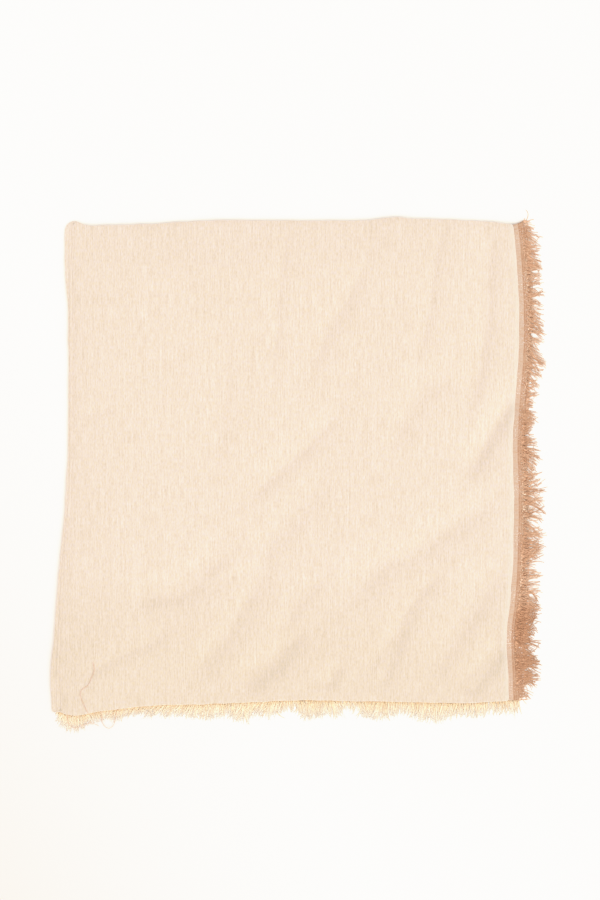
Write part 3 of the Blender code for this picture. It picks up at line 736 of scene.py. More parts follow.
@dataclass(frozen=True)
class SlubbyWeave:
    """Thin weave of uneven cream warp with brown metallic weft.

    Attributes:
        ground: its usual colour.
        warm_ground: its yellower threads.
        cool_ground: its whiter threads.
        low_tint: what the cloth's colour is multiplied by towards the bottom crease, making it darker and
            yellower.
        low_range: where along the warp that tint begins, and where it is full.
        dark_slub: colour of its browner slubs.
        pale_slub: colour of its paler slubs.
        painted_rim_light: painted light, a paler colour on the turned folds, where the surface tilts away from
            level.
        painted_rim_light_share: how much of that painted light they take on.
        pale_edge: colour of the last stretch before the woven band.
        pale_edge_share: how much of it that stretch takes on.
        warp_pitch: distance from one warp yarn to the next.
        weft_pitch: distance from one weft yarn to the next.
        wander: how the warp yarns stray sideways, by up to its weight in metres.
        slubs: the yarns' thick and thin places, from short ones to long ones, and the ticks of the weft.
        streak: long stripes along the warp.
        tone: how the yarns change between warm and cool.
        glint: the sparkles of the metallic weft.
        relief: height of the weave's bump.
    """

    ground: Colour = (0.756, 0.626, 0.508)
    warm_ground: Colour = (0.760, 0.620, 0.446)
    cool_ground: Colour = (0.754, 0.637, 0.574)
    low_tint: Colour = (0.950, 0.948, 0.915)
    low_range: Span = (-0.09, -0.19)
    dark_slub: Colour = (0.640, 0.512, 0.370)
    pale_slub: Colour = (0.878, 0.722, 0.645)
    painted_rim_light: Colour = (0.990, 0.890, 0.790)
    painted_rim_light_share: float = 0.85
    pale_edge: Colour = (0.758, 0.679, 0.569)
    pale_edge_share: float = 0.45
    warp_pitch: float = 0.00060
    weft_pitch: float = 0.00075
    wander: Grain = Grain(60.0, 22.0, 3.0, detail=2.0, weight=0.0016)
    slubs: tuple[Grain, ...] = (
        Grain(1050.0, 300.0, 11.0, weight=0.36), Grain(930.0, 70.0, 17.0, weight=0.36),
        Grain(760.0, 14.0, 23.0, weight=0.18), Grain(330.0, 1250.0, 29.0, weight=0.08),
    )
    streak: Grain = Grain(420.0, 5.0, 29.0, weight=0.09)
    tone: Grain = Grain(900.0, 260.0, 37.0)
    glint: Grain = Grain(900.0, 1900.0, 41.0, detail=0.0)
    relief: float = 0.00035

    def material(self, name: str) -> bpy.types.Material:
        """Make the material.

        Args:
            name: its name.

        Returns:
            The material.
        """
        graph = ShaderGraph(name)
        across, along = graph.threads()
        strayed = graph.noise(across, along, self.wander)
        warp_place = graph.math("MULTIPLY_ADD", strayed, self.wander.weight, across)
        slub = 0.0
        for grain in self.slubs:
            slub = graph.math("MULTIPLY_ADD", graph.noise(warp_place, along, grain), grain.weight, slub)
        streak = graph.math("SUBTRACT", graph.noise(warp_place, along, self.streak), 0.5)
        slub = graph.math("MULTIPLY_ADD", streak, self.streak.weight, slub)
        tone = graph.noise(warp_place, along, self.tone)
        colour = graph.tint(self.ground, tone, (0.50, 0.72), self.warm_ground)
        colour = graph.tint(colour, tone, (0.50, 0.28), self.cool_ground)
        colour = graph.tint(colour, slub, (0.50, 0.30), self.dark_slub)
        colour = graph.tint(colour, slub, (0.50, 0.70), self.pale_slub)
        colour = graph.tint(colour, along, self.low_range, self.low_tint, blend="MULTIPLY")
        # Painted light: where the surface tilts away from level, as on the turned folds, the cloth is made
        # paler.
        facing = graph.add("ShaderNodeSeparateXYZ")
        graph.tree.links.new(graph.add("ShaderNodeNewGeometry").outputs["Normal"], facing.inputs[0])
        colour = graph.tint(colour, facing.outputs["Z"], (0.90, 0.45), self.painted_rim_light, self.painted_rim_light_share)
        to_edge = graph.math("MULTIPLY", graph.attribute(SELVEDGE), self.pale_edge_share)
        colour = graph.mix(to_edge, colour, self.pale_edge)
        warp = graph.wave(warp_place, self.warp_pitch)
        weave = graph.math("MULTIPLY", warp, graph.wave(along, self.weft_pitch))
        height = graph.math("MULTIPLY_ADD", weave, 0.16, slub)
        height = graph.math("MULTIPLY_ADD", warp, 0.10, height)
        graph.bump(height, self.relief, 0.55)
        glint = graph.spread(graph.noise(across, along, self.glint), (0.70, 0.78))
        graph.set(Base_Color=colour, Roughness=graph.spread(glint, (0.0, 1.0), (0.62, 0.30)),
                  Metallic=graph.math("MULTIPLY", glint, 0.55), Specular_IOR_Level=0.35,
                  Sheen_Weight=0.18, Sheen_Roughness=0.5)
        return graph.material


@dataclass(frozen=True)
class BandWeave:
    """Selvedge weave: a sparse pinkish strip, then a close brown band with dotted ribs and silver stitches.

    Attributes:
        strip: colour of the pinkish strip.
        band: colour of the brown band.
        rib: colour of the dark lines between its ribs.
        pale_rib: colour of its pale dotted rib.
        silver: colour of the stitches that glitter.
        low_tint: what the band's colour is multiplied by towards the bottom, making it a little darker.
        low_range: where along the edge that tint begins, and where it is full.
        strip_width: width of the pinkish strip.
        seam: half width of the change from the strip to the band.
        rib_pitch: distance from one rib to the next.
        dot_pitch: distance from one dot of a rib to the next.
        wander: how the ribs stray sideways, by up to half its weight in metres.
        fleck: the weave's fine flecks.
        weft_line: thin lines along the weft.
        cross: broad paler stretches.
        rung: short bars across.
        stitch: the silver stitches.
        stitch_patch: the stretches where those come to the face.
        relief: height of the weave's bump.
    """

    strip: Colour = (0.612, 0.440, 0.330)
    band: Colour = (0.510, 0.260, 0.141)
    rib: Colour = (0.349, 0.163, 0.082)
    pale_rib: Colour = (0.619, 0.406, 0.261)
    silver: Colour = (0.930, 0.900, 0.870)
    low_tint: Colour = (0.985, 0.975, 0.965)
    low_range: Span = (-0.12, -0.17)
    strip_width: float = 0.0047
    seam: float = 0.0004
    rib_pitch: float = 0.0021
    dot_pitch: float = 0.00125
    wander: Grain = Grain(90.0, 55.0, 5.0, detail=2.0, weight=0.0012)
    fleck: Grain = Grain(1000.0, 900.0, 13.0, detail=2.0)
    weft_line: Grain = Grain(160.0, 1500.0, 19.0)
    cross: Grain = Grain(60.0, 130.0, 31.0)
    rung: Grain = Grain(190.0, 620.0, 43.0)
    stitch: Grain = Grain(1050.0, 900.0, 47.0, detail=0.0)
    stitch_patch: Grain = Grain(30.0, 38.0, 53.0, detail=0.0)
    relief: float = 0.00040

    def material(self, name: str) -> bpy.types.Material:
        """Make the material.

        Args:
            name: its name.

        Returns:
            The material.
        """
        graph = ShaderGraph(name)
        across, along = graph.threads()
        strayed = graph.math("SUBTRACT", graph.noise(across, along, self.wander), 0.5)
        place = graph.math("MULTIPLY_ADD", strayed, self.wander.weight, across)
        grains = (self.fleck, self.weft_line, self.cross, self.rung)
        fleck, weft_line, cross, rung = (graph.noise(place, along, grain) for grain in grains)
        strip = graph.tint(self.strip, weft_line, (0.42, 0.62), self.pale_rib)
        strip = graph.tint(strip, fleck, (0.55, 0.75), self.band, 0.5)
        strip = graph.tint(strip, rung, (0.52, 0.66), self.band, 0.35)
        ribs = graph.wave(place, self.rib_pitch)
        dots = graph.spread(graph.wave(along, self.dot_pitch), (-0.4, 0.6), (0.35, 1.0))
        dotted = graph.math("MULTIPLY", graph.spread(ribs, (0.35, 0.9)), dots)
        band = graph.tint(self.band, fleck, (0.42, 0.68), self.rib, 0.75)
        band = graph.mix(graph.math("MULTIPLY", dotted, 0.60), band, self.pale_rib)
        band = graph.tint(band, ribs, (-0.55, -0.95), self.rib, 0.5)
        band = graph.tint(band, cross, (0.45, 0.70), self.pale_rib, 0.25)
        band = graph.tint(band, rung, (0.50, 0.66), self.pale_rib, 0.45)
        on_band = graph.spread(place, (self.strip_width - self.seam, self.strip_width + self.seam))
        colour = graph.mix(on_band, strip, band)
        colour = graph.tint(colour, along, self.low_range, self.low_tint, blend="MULTIPLY")
        stitch = graph.spread(graph.noise(across, along, self.stitch), (0.66, 0.74))
        patch = graph.spread(graph.noise(across, along, self.stitch_patch), (0.40, 0.62), (0.15, 1.0))
        stitch = graph.math("MULTIPLY", stitch, patch)
        colour = graph.mix(graph.math("MULTIPLY", stitch, 0.62), colour, self.silver)
        height = graph.math("MULTIPLY_ADD", dotted, 0.5, fleck)
        height = graph.math("MULTIPLY_ADD", weft_line, 0.4, height)
        graph.bump(height, self.relief, 0.6)
        graph.set(Base_Color=colour, Roughness=graph.spread(stitch, (0.0, 1.0), (0.55, 0.28)),
                  Metallic=graph.math("MULTIPLY", stitch, 0.5), Sheen_Weight=0.12, Sheen_Roughness=0.5)
        return graph.material


@dataclass(frozen=True)
class YarnFinish:
    """Loose yarn whose strands differ in shade, and which changes colour from root to tip.

    Attributes:
        root: colour at the roots.
        middle: colour half way.
        tip: colour at the tips.
        deep: colour of its darkest strands.
        pale: colour of its palest strands.
        deep_share: how much the darkest strands take on.
        pale_share: how much the palest strands take on.
        roughness: its roughness.
        twist: the darker spots where a strand twists.
        twist_share: how dark they are.
    """

    root: Colour
    middle: Colour
    tip: Colour
    deep: Colour
    pale: Colour
    deep_share: float
    pale_share: float
    roughness: float
    twist: Grain = Grain(90.0, 26.0, 7.0)
    twist_share: float = 0.35

    def material(self, name: str) -> bpy.types.Material:
        """Make the material.

        Args:
            name: its name.

        Returns:
            The material.
        """
        graph = ShaderGraph(name)
        shade, share = graph.threads()
        colour = graph.tint(self.root, share, (0.05, 0.50), self.middle)
        colour = graph.tint(colour, share, (0.50, 0.95), self.tip)
        colour = graph.tint(colour, shade, (0.45, 0.0), self.deep, self.deep_share)
        colour = graph.tint(colour, shade, (0.60, 1.0), self.pale, self.pale_share)
        twist = graph.noise(shade, share, self.twist)
        colour = graph.tint(colour, twist, (0.45, 0.75), self.deep, self.twist_share)
        graph.set(Base_Color=colour, Roughness=self.roughness, Specular_IOR_Level=0.25)
        return graph.material


BROWN_YARN = YarnFinish(
    root=(0.870, 0.530, 0.335), middle=(0.900, 0.560, 0.360), tip=(0.930, 0.620, 0.420),
    deep=(0.550, 0.260, 0.130), pale=(0.980, 0.790, 0.600), deep_share=0.85, pale_share=0.80, roughness=0.45,
)
CREAM_YARN = YarnFinish(
    root=(1.000, 0.750, 0.465), middle=(1.000, 0.805, 0.580), tip=(0.965, 0.865, 0.735),
    deep=(1.000, 0.690, 0.370), pale=(1.000, 0.900, 0.760), deep_share=0.40, pale_share=0.40, roughness=0.60,
)
LOOSE_YARN = YarnFinish(
    root=(0.760, 0.490, 0.350), middle=(0.770, 0.510, 0.370), tip=(0.780, 0.530, 0.390),
    deep=(0.680, 0.400, 0.270), pale=(0.800, 0.560, 0.410), deep_share=0.3, pale_share=0.3, roughness=0.50,
)


# ---- The packet's form ----

class Side(Enum):
    """Sides of the packet, in the order in which its outline runs."""

    BOTTOM = 0
    RIGHT = 1
    TOP = 2
    LEFT = 3


@dataclass
class PacketForm:
    """The folded packet's outline and height, which every piece of it is made from.

    Attributes:
        cells: cells along each side.
        turns: how the top cloth turns down over each side.
        corner_radii: radius of each corner, from the bottom left one, counterclockwise.
        blend_rounds: smoothing rounds where two turns meet, for each hundred cells.
        waver: unevenness of the outline.
        waver_shift: how far a layer's waver is shifted, for each metre that it stays inside at the bottom.
        left_roll: how far the cloth sinks towards the left folds, and over what width.
        top_roll: the same for the fold at the top.
        crease_scale: depth of the creases as drawn, against the table's.
        edge_calm: share of a crease's depth that is left at the woven band, and over what width it is lost.
        least_height: height above the surface that no crease sinks below.
    """

    cells: int = 200
    turns: dict[Side, Turn] = field(default_factory=lambda: {
        Side.BOTTOM: Turn(0.0008, 0.0009, math.radians(100)),
        Side.RIGHT: Turn(0.0010, 0.0007, math.radians(80)),
        Side.TOP: Turn(0.0007, 0.0007, math.radians(85)),
        Side.LEFT: Turn(0.0006, 0.0003, math.radians(65)),
    })
    corner_radii: tuple[float, float, float, float] = (0.0020, 0.0020, 0.0020, 0.0090)
    blend_rounds: int = 5
    waver: Ripple = Ripple(0.00018, 0.012, 0.060, 16, 5)
    waver_shift: float = 40.0
    left_roll: tuple[float, float] = (0.0026, 0.013)
    top_roll: tuple[float, float] = (0.0008, 0.005)
    crease_scale: float = 4.0
    edge_calm: tuple[float, float] = (0.55, 0.012)
    least_height: float = 0.0018

    def __post_init__(self) -> None:
        """Work out the outline, the turns round it and the flat top's plan."""
        self.share = np.linspace(0.0, 1.0, self.cells + 1)
        self.sides = np.repeat([side.value for side in Side], self.cells)
        self.outline = self.layer_outline(Layer("top_fold"))
        self.normals = self.outward(self.outline)
        self.turn_reach = self.round_edges("reach")
        self.turn_half = self.round_edges("half_height")
        self.turn_end = self.round_edges("end_angle")
        self.plan = self.flat_plan(self.outline - self.normals * self.turn_reach[:, None])
        self.height = self.top_height(self.plan)

    def round_edges(self, size: str) -> np.ndarray:
        """Spread a size of the turns round the outline, so that one side's runs into the next one's.

        Args:
            size: the name of the size.

        Returns:
            The size at each point of the outline.
        """
        values = np.array([getattr(self.turns[Side(side)], size) for side in self.sides])
        for _ in range(self.blend_rounds * self.cells // 100):
            values = (np.roll(values, 1) + 2 * values + np.roll(values, -1)) / 4
        return values

    def layer_outline(self, layer: Layer) -> np.ndarray:
        """Work out a layer's outline, counterclockwise from the bottom left corner.

        Args:
            layer: the layer.

        Returns:
            Its points, one row each.
        """
        share = self.share[:-1]
        corner_left = [getattr(LEFT_EDGE[end], layer.fold) for end in (0, -1)]
        corner_right = [RIGHT_EDGE[end].reach - layer.right for end in (0, -1)]
        low_x = corner_left[0] + (corner_right[0] - corner_left[0]) * share
        high_x = corner_right[1] + (corner_left[1] - corner_right[1]) * share
        low_y = table_curve(BOTTOM_EDGE, "reach", low_x) + layer.bottom
        high_y = table_curve(TOP_EDGE, "reach", high_x) - layer.top
        right_low = BOTTOM_EDGE[-1].reach + layer.bottom
        right_y = right_low + (high_y[0] - right_low) * share
        left_high = TOP_EDGE[0].reach - layer.top
        left_y = left_high + (low_y[0] - left_high) * share
        right_x = table_curve(RIGHT_EDGE, "reach", right_y) - layer.right
        left_x = table_curve(LEFT_EDGE, layer.fold, left_y)
        points = np.concatenate([
            np.stack([low_x, low_y], 1), np.stack([right_x, right_y], 1),
            np.stack([high_x, high_y], 1), np.stack([left_x, left_y], 1),
        ])
        points = self.rounded_corners(points)
        wavered = self.waver.at(points[:, 0], points[:, 1] + layer.bottom * self.waver_shift)
        return points + self.outward(points) * wavered[:, None]

    def rounded_corners(self, points: np.ndarray) -> np.ndarray:
        """Pull the points near each corner in to its radius.

        Args:
            points: the outline with square corners.

        Returns:
            The outline with round ones.
        """
        rounded = points.copy()
        count = len(points)
        inward = ((1, 1), (-1, 1), (-1, -1), (1, -1))
        for number, radius in enumerate(self.corner_radii):
            corner = points[number * self.cells]
            for step in range(-self.cells // 4, self.cells // 4 + 1):
                k = (number * self.cells + step) % count
                away = np.linalg.norm(points[k] - corner)
                if away >= radius:
                    continue
                if step == 0:
                    rounded[k] += np.array(inward[number]) * radius * (1 - math.sqrt(0.5))
                    continue
                pull = radius - math.sqrt(radius ** 2 - (radius - away) ** 2)
                level_side = (step > 0) == (number % 2 == 0)
                axis = 1 if level_side else 0
                rounded[k, axis] += inward[number][axis] * pull
        return rounded

    @staticmethod
    def outward(points: np.ndarray) -> np.ndarray:
        """Work out which way is out of a closed outline.

        Args:
            points: its points, counterclockwise.

        Returns:
            The unit normal at each point.
        """
        tangent = np.roll(points, -1, axis=0) - np.roll(points, 1, axis=0)
        normal = np.stack([tangent[:, 1], -tangent[:, 0]], 1)
        return normal / np.linalg.norm(normal, axis=1, keepdims=True)

    def flat_plan(self, edge: np.ndarray) -> np.ndarray:
        """Fill an outline with a grid.

        Args:
            edge: the outline.

        Returns:
            The grid's points: row, column, coordinate.
        """
        n = self.cells
        low, right = edge[:n + 1], edge[n:2 * n + 1]
        high = edge[2 * n:3 * n + 1][::-1]
        left = np.concatenate([edge[3 * n:], edge[:1]])[::-1]
        u = self.share[None, :, None]
        v = self.share[:, None, None]
        across = left[:, None] * (1 - u) + right[:, None] * u
        upward = low[None] * (1 - v) + high[None] * v
        corners = (low[0] * (1 - u) + low[-1] * u) * (1 - v) + (high[0] * (1 - u) + high[-1] * u) * v
        return across + upward - corners

    def grid_ring(self) -> np.ndarray:
        """Number the grid's boundary points.

        Returns:
            Their numbers, in the outline's order.
        """
        n = self.cells
        number = np.arange((n + 1) ** 2).reshape(n + 1, n + 1)
        return np.concatenate([number[0, :-1], number[:-1, -1], number[-1, :0:-1], number[:0:-1, 0]])

    def smooth_height(self, u: np.ndarray, v: np.ndarray) -> np.ndarray:
        """Read the height of the packet's smooth top.

        Args:
            u: shares of the way from left to right.
            v: shares of the way up.

        Returns:
            The heights.
        """
        levels = [table_curve(PACKET_HEIGHT, name, v) for name in HeightRow._fields[1:]]
        total = np.zeros(np.broadcast(u, v).shape)
        for k, level in enumerate(levels):
            weights = np.zeros(len(levels))
            weights[k] = 1.0
            total = total + level * smooth_curve(HEIGHT_COLUMNS, weights, u)
        return total

    def top_height(self, plan: np.ndarray) -> np.ndarray:
        """Work out the height of the top cloth over its plan.

        Args:
            plan: the grid's points.

        Returns:
            The height of each.
        """
        x, y = plan[..., 0], plan[..., 1]
        smooth = self.smooth_height(self.share[None, :], self.share[:, None])
        depth, width = self.left_roll
        from_left = x - table_curve(LEFT_EDGE, "top_fold", y)
        roll = depth * np.exp(-from_left / width)
        depth, width = self.top_roll
        from_top = table_curve(TOP_EDGE, "reach", x) - y
        roll = roll + depth * np.exp(-from_top / width)
        flat_height = smooth - roll
        return np.maximum(flat_height - self.crease_depth(x, y), np.minimum(flat_height, self.least_height))

    def crease_depth(self, x: np.ndarray, y: np.ndarray) -> np.ndarray:
        """Work out how deep the creases are as drawn, shallower where the woven band holds the cloth.

        Args:
            x: the points' X.
            y: the points' Y.

        Returns:
            The depth at each point.
        """
        share, width = self.edge_calm
        from_band = np.abs(table_curve(RIGHT_EDGE, "reach", y) - x)
        kept = share + (1 - share) * smooth_step(from_band / width)
        return self.crease_scale * kept * crease_relief(x, y)

    def turned_ring(self, share: float) -> np.ndarray:
        """Work out a ring of points on the turned-down edge.

        Args:
            share: how far round the turn the ring lies, from 0 at the flat top to 1 at the turn's end.

        Returns:
            The ring's points, in the outline's order.
        """
        angle = self.turn_end * share
        ring = self.grid_ring()
        height = self.height.reshape(-1)[ring]
        centre = self.outline - self.normals * self.turn_reach[:, None]
        plan = centre + self.normals * (self.turn_reach * np.sin(angle))[:, None]
        return np.column_stack([plan, height - self.turn_half * (1 - np.cos(angle))])

    def edge_low(self) -> np.ndarray:
        """Return the height of the turned-down edge's lowest line round the outline."""
        return self.turned_ring(1.0)[:, 2]

    def shell(self, plan: np.ndarray, height: np.ndarray,
              rings: Sequence[np.ndarray]) -> tuple[np.ndarray, np.ndarray, list[tuple[int, ...]]]:
        """Join a top to the rings that carry its edge down.

        Args:
            plan: the top's grid, seen from above.
            height: the height of each of its points.
            rings: the rings' points, from the highest ring to the lowest.

        Returns:
            All the points, their places on the thread map, and the faces.
        """
        top = np.concatenate([plan, height[..., None]], axis=-1).reshape(-1, 3)
        points, uv, faces = [top], [top[:, :2]], grid_faces(self.cells + 1, self.cells + 1)
        ring = self.grid_ring()
        edge, previous = top[ring, :2], top[ring]
        run = np.zeros(len(ring))
        for number, turned in enumerate(rings):
            run = run + np.linalg.norm(turned - previous, axis=1)
            lower = len(top) + number * len(turned) + np.arange(len(turned))
            faces += ring_faces(ring, lower)
            points.append(turned)
            uv.append(edge + self.normals * run[:, None])
            ring, previous = lower, turned
        return np.concatenate(points), np.concatenate(uv), faces


# ---- Body cloth ----

@dataclass
class TopCloth:
    """The stretch of body cloth on top, one sheet that turns down over every edge.

    Attributes:
        form: the packet that it lies on.
        finish: its weave.
        wall: the cloth's thickness.
        turn_steps: rings from the flat top to the end of a turn.
        ripple: broad unevenness.
        pucker: finer unevenness.
        pale_edge_width: width of the paler stretch at the woven band.
        pale_edge_fade: over what width it comes up.
        calm_width: share of the sheet's size, from each edge, over which it calms down.
        calm_least: share of the unevenness that is left at the edges.
    """

    form: PacketForm
    finish: SlubbyWeave = SlubbyWeave()
    wall: float = 0.0004
    turn_steps: int = 9
    ripple: Ripple = Ripple(0.00012, 0.035, 0.110, 30, 21, 1.8)
    pucker: Ripple = Ripple(0.00005, 0.005, 0.018, 60, 22, 16.0)
    pale_edge_width: float = 0.0070
    pale_edge_fade: float = 0.0056
    calm_width: float = 0.05
    calm_least: float = 0.2

    def build(self) -> bpy.types.Object:
        """Build the sheet.

        Returns:
            The finished piece.
        """
        form = self.form
        unevenness = self.ripple.at(form.plan[..., 0], form.plan[..., 1])
        unevenness += self.pucker.at(form.plan[..., 0], form.plan[..., 1])
        form.height = form.height + unevenness * self.calm_edges()
        rings = [form.turned_ring(step / self.turn_steps) for step in range(1, self.turn_steps + 1)]
        points, uv, faces = form.shell(form.plan, form.height, rings)
        piece = make_piece("scarf_top", points, faces, uv)
        self.mark_selvedge(piece)
        apply_wall(piece, self.wall)
        piece.data.materials.append(self.finish.material("slubby_weave"))
        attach(piece, BODY)
        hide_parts("top_cloth")
        return piece

    def calm_edges(self) -> np.ndarray:
        """Work out how much of the unevenness is left near the folds.

        Returns:
            The share that each grid point keeps.
        """
        share = self.form.share
        inwards = np.minimum(share, 1 - share)
        keep = smooth_step(inwards / self.calm_width) * (1 - self.calm_least) + self.calm_least
        return keep[None, :] * keep[:, None]

    def mark_selvedge(self, piece: bpy.types.Object) -> None:
        """Write on the sheet how near each point is to the woven band.

        Args:
            piece: the sheet.
        """
        count = len(piece.data.vertices)
        place = np.empty(count * 3)
        piece.data.vertices.foreach_get("co", place)
        place = place.reshape(-1, 3)
        to_band = table_curve(RIGHT_EDGE, "reach", place[:, 1]) - place[:, 0]
        near = smooth_step((self.pale_edge_width - to_band) / self.pale_edge_fade)
        attribute = piece.data.attributes.new(SELVEDGE, "FLOAT", "POINT")
        attribute.data.foreach_set("value", near.astype(np.float32))


@dataclass
class FoldedLayers:
    """The seven layers under the top cloth as one form, layered at its edges, flat underneath.

    Attributes:
        form: the packet.
        finish: their weave.
        lips: outlines of the folded pairs, from the top one down.
        lip_tops: height of each pair's top, as a share of the lowest line of the top cloth's edge.
        nose_steps: rings round each pair's nose.
        groove: how deep the gap between two pairs runs in.
        nose_reach: how round each nose is.
        nose_gap: air between two pairs, and under the top cloth's edge.
        neck: how far the top stays inside the top cloth's turns.
        clearance: air under the top cloth.
    """

    form: PacketForm
    finish: SlubbyWeave = SlubbyWeave()
    lips: tuple[Layer, ...] = (
        Layer("second_fold", 0.0008, 0.0012, 0.0012),
        Layer("third_fold", 0.0002, 0.0004, 0.0006),
        Layer("third_fold", 0.0005, 0.0000, 0.0003),
    )
    lip_tops: tuple[float, ...] = (0.985, 0.78, 0.62)
    nose_steps: int = 9
    groove: float = 0.0011
    nose_reach: float = 0.0013
    nose_gap: float = 0.0001
    neck: float = 0.0006
    clearance: float = 0.0010

    def build(self) -> bpy.types.Object:
        """Build the layered form.

        Returns:
            The finished piece.
        """
        form = self.form
        neck = form.outline - form.normals * (form.turn_reach + self.neck)[:, None]
        plan = form.flat_plan(neck)
        low = form.edge_low() - self.nose_gap
        rings = [np.column_stack([neck, low])]
        bottoms = (*self.lip_tops[1:], 0.0)
        for lip, top_share, bottom_share in zip(self.lips, self.lip_tops, bottoms):
            edge = form.layer_outline(lip)
            normals = form.outward(edge)
            upper, lower = low * top_share, low * bottom_share
            if bottom_share > 0:
                lower = lower + self.nose_gap
                middle, half, last_angle = (upper + lower) / 2, (upper - lower) / 2, -90.0
            else:
                middle, half, last_angle = lower, upper - lower, 0.0
            rings.append(np.column_stack([edge - normals * self.groove, upper]))
            for angle in np.radians(np.linspace(80, last_angle, self.nose_steps)):
                inset = self.nose_reach * (1 - math.cos(angle))
                rings.append(np.column_stack([edge - normals * inset, middle + half * math.sin(angle)]))
            rings.append(np.column_stack([edge - normals * self.groove, lower]))
        points, uv, faces = form.shell(plan, form.top_height(plan) - self.clearance, rings)
        underside = np.arange(len(points))[-len(neck):]
        faces.append(tuple(underside[::-1]))
        piece = make_piece("folded_layers", points, faces, uv)
        point_outwards(piece)
        piece.data.materials.append(self.finish.material("slubby_weave_layers"))
        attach(piece, BODY)
        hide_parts("hidden_layers")
        return piece


# ---- Woven bands ----

@dataclass
class SelvedgeBand:
    """One or more woven bands at the right, each a thin ribbed strip.

    Attributes:
        name: the piece's name.
        replaced: the solid that it stands for.
        finish: its weave.
        levels: height of each band as a share of the top band's.
        outwards: how far each band's outer edge reaches past the top one's.
        fray: unevenness of its outer edge; each of several bands has a draw of its own.
        shorter: how far the bands stop short of the bottom crease.
        width: pinkish strip and brown band together.
        tuck: how far the band runs in under the body cloth's edge.
        wall: its thickness.
        columns: points across.
        rows: points along.
        step_down: how far its inner edge lies below the body cloth.
        droop: how far its outer edge sinks.
        end_sink: how far its ends sink.
        end_sink_length: over what length they do.
        end_lift: how far its outer edge is carried up the scarf at the top end.
        lift_length: over what length it is.
        lowest: least height of its face above the surface.
        fan: how much further the outer edges reach near the bottom, where the layers have slipped.
        fan_start: where that begins.
        fan_length: over what length it grows.
        ribs: height of its ribs.
        layer_step: how far the top band stays above the surface where the layers lie flat.
        air: least air under it.
        weave_shift: how far the weave is shifted from one band to the next.
    """

    name: str
    replaced: str
    finish: BandWeave = BandWeave()
    levels: tuple[float, ...] = (1.0,)
    outwards: tuple[float, ...] = (0.0,)
    fray: Ripple = Ripple(0.00025, 0.004, 0.030, 14, 61)
    shorter: float = 0.0
    width: float = 0.0106
    tuck: float = 0.0008
    wall: float = 0.0005
    columns: int = 17
    rows: int = 320
    step_down: float = 0.0005
    droop: float = 0.0032
    end_sink: float = 0.0012
    end_sink_length: float = 0.0080
    end_lift: float = 0.0035
    lift_length: float = 0.0560
    lowest: float = 0.0038
    fan: float = 0.0
    fan_start: float = -0.120
    fan_length: float = 0.050
    ribs: float = 0.00010
    layer_step: float = 0.0013
    air: float = 0.0001
    weave_shift: float = 0.7

    def surface(self, y: np.ndarray, across: np.ndarray) -> np.ndarray:
        """Work out points of the top band's face.

        Args:
            y: places along the right edge, before the end is carried up.
            across: shares of the band's width, below 0 where it is tucked in.

        Returns:
            The points.
        """
        low, high = RIGHT_EDGE[0].place, RIGHT_EDGE[-1].place
        packet = PACKET.smooth_height(np.ones(np.shape(y)), (y - low) / (high - low))
        reach = table_curve(RIGHT_EDGE, "reach", y)
        packet = np.maximum(packet - PACKET.crease_depth(reach, y), self.lowest)
        to_end = np.maximum(np.minimum(high - y, y - low), 0.0)
        sink = self.end_sink * np.exp(-(to_end / self.end_sink_length) ** 2)
        outer = np.maximum(across, 0.0)
        lift = self.end_lift * np.clip(1 - (high - y) / self.lift_length, 0, 1) ** 2 * outer ** 1.5
        z = packet - self.step_down - sink - self.droop * outer ** 2
        return np.stack([reach + self.width * across, y + lift, z], axis=-1)

    def build(self) -> bpy.types.Object:
        """Build the band or bands.

        Returns:
            The finished piece.
        """
        low = RIGHT_EDGE[0].place + self.shorter
        high = RIGHT_EDGE[-1].place - self.shorter / 2
        y = np.linspace(low, high, self.rows)[:, None]
        across = np.linspace(-self.tuck / self.width, 1.0, self.columns)[None, :]
        points, uv, faces = [], [], []
        for number, (level, outwards) in enumerate(zip(self.levels, self.outwards)):
            y_grid, across_grid = np.broadcast_arrays(y, across)
            grid = self.surface(y_grid, across_grid)
            fray = replace(self.fray, seed=self.fray.seed + number)
            frayed = fray.at(grid[..., 1], np.zeros(y_grid.shape))
            fanned = self.fan * number * smooth_step((self.fan_start - y_grid) / self.fan_length)
            grid[..., 0] += (outwards + frayed + fanned) * np.clip(across_grid, 0, 1) ** 4
            ribs_passed = across_grid * self.width / self.finish.rib_pitch
            grid[..., 2] += self.ribs * np.sin(2 * math.pi * ribs_passed)
            least = self.wall + self.air + self.layer_step * level
            grid[..., 2] = np.maximum(grid[..., 2] * level, least)
            faces += grid_faces(self.columns, self.rows, sum(len(p) for p in points))
            points.append(grid.reshape(-1, 3))
            along = y_grid + number * self.weave_shift
            uv.append(np.stack([across_grid * self.width, along], axis=-1).reshape(-1, 2))
        piece = make_piece(self.name, np.concatenate(points), faces, np.concatenate(uv))
        apply_wall(piece, self.wall)
        piece.data.materials.append(self.finish.material(self.name + "_weave"))
        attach(piece, BODY)
        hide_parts(self.replaced)
        return piece


# ---- Fringes ----

FULLEST = 1.7                   # fullness of a lock where every strand that is tried is kept
MOST_LOCKS = 800                # more locks than any of the edges has room for


class Edge(Enum):
    """Edge that a fringe grows from: the coordinates across and along it, and which way is out."""

    SIDE = (0, 1, 1)
    END = (1, 0, -1)


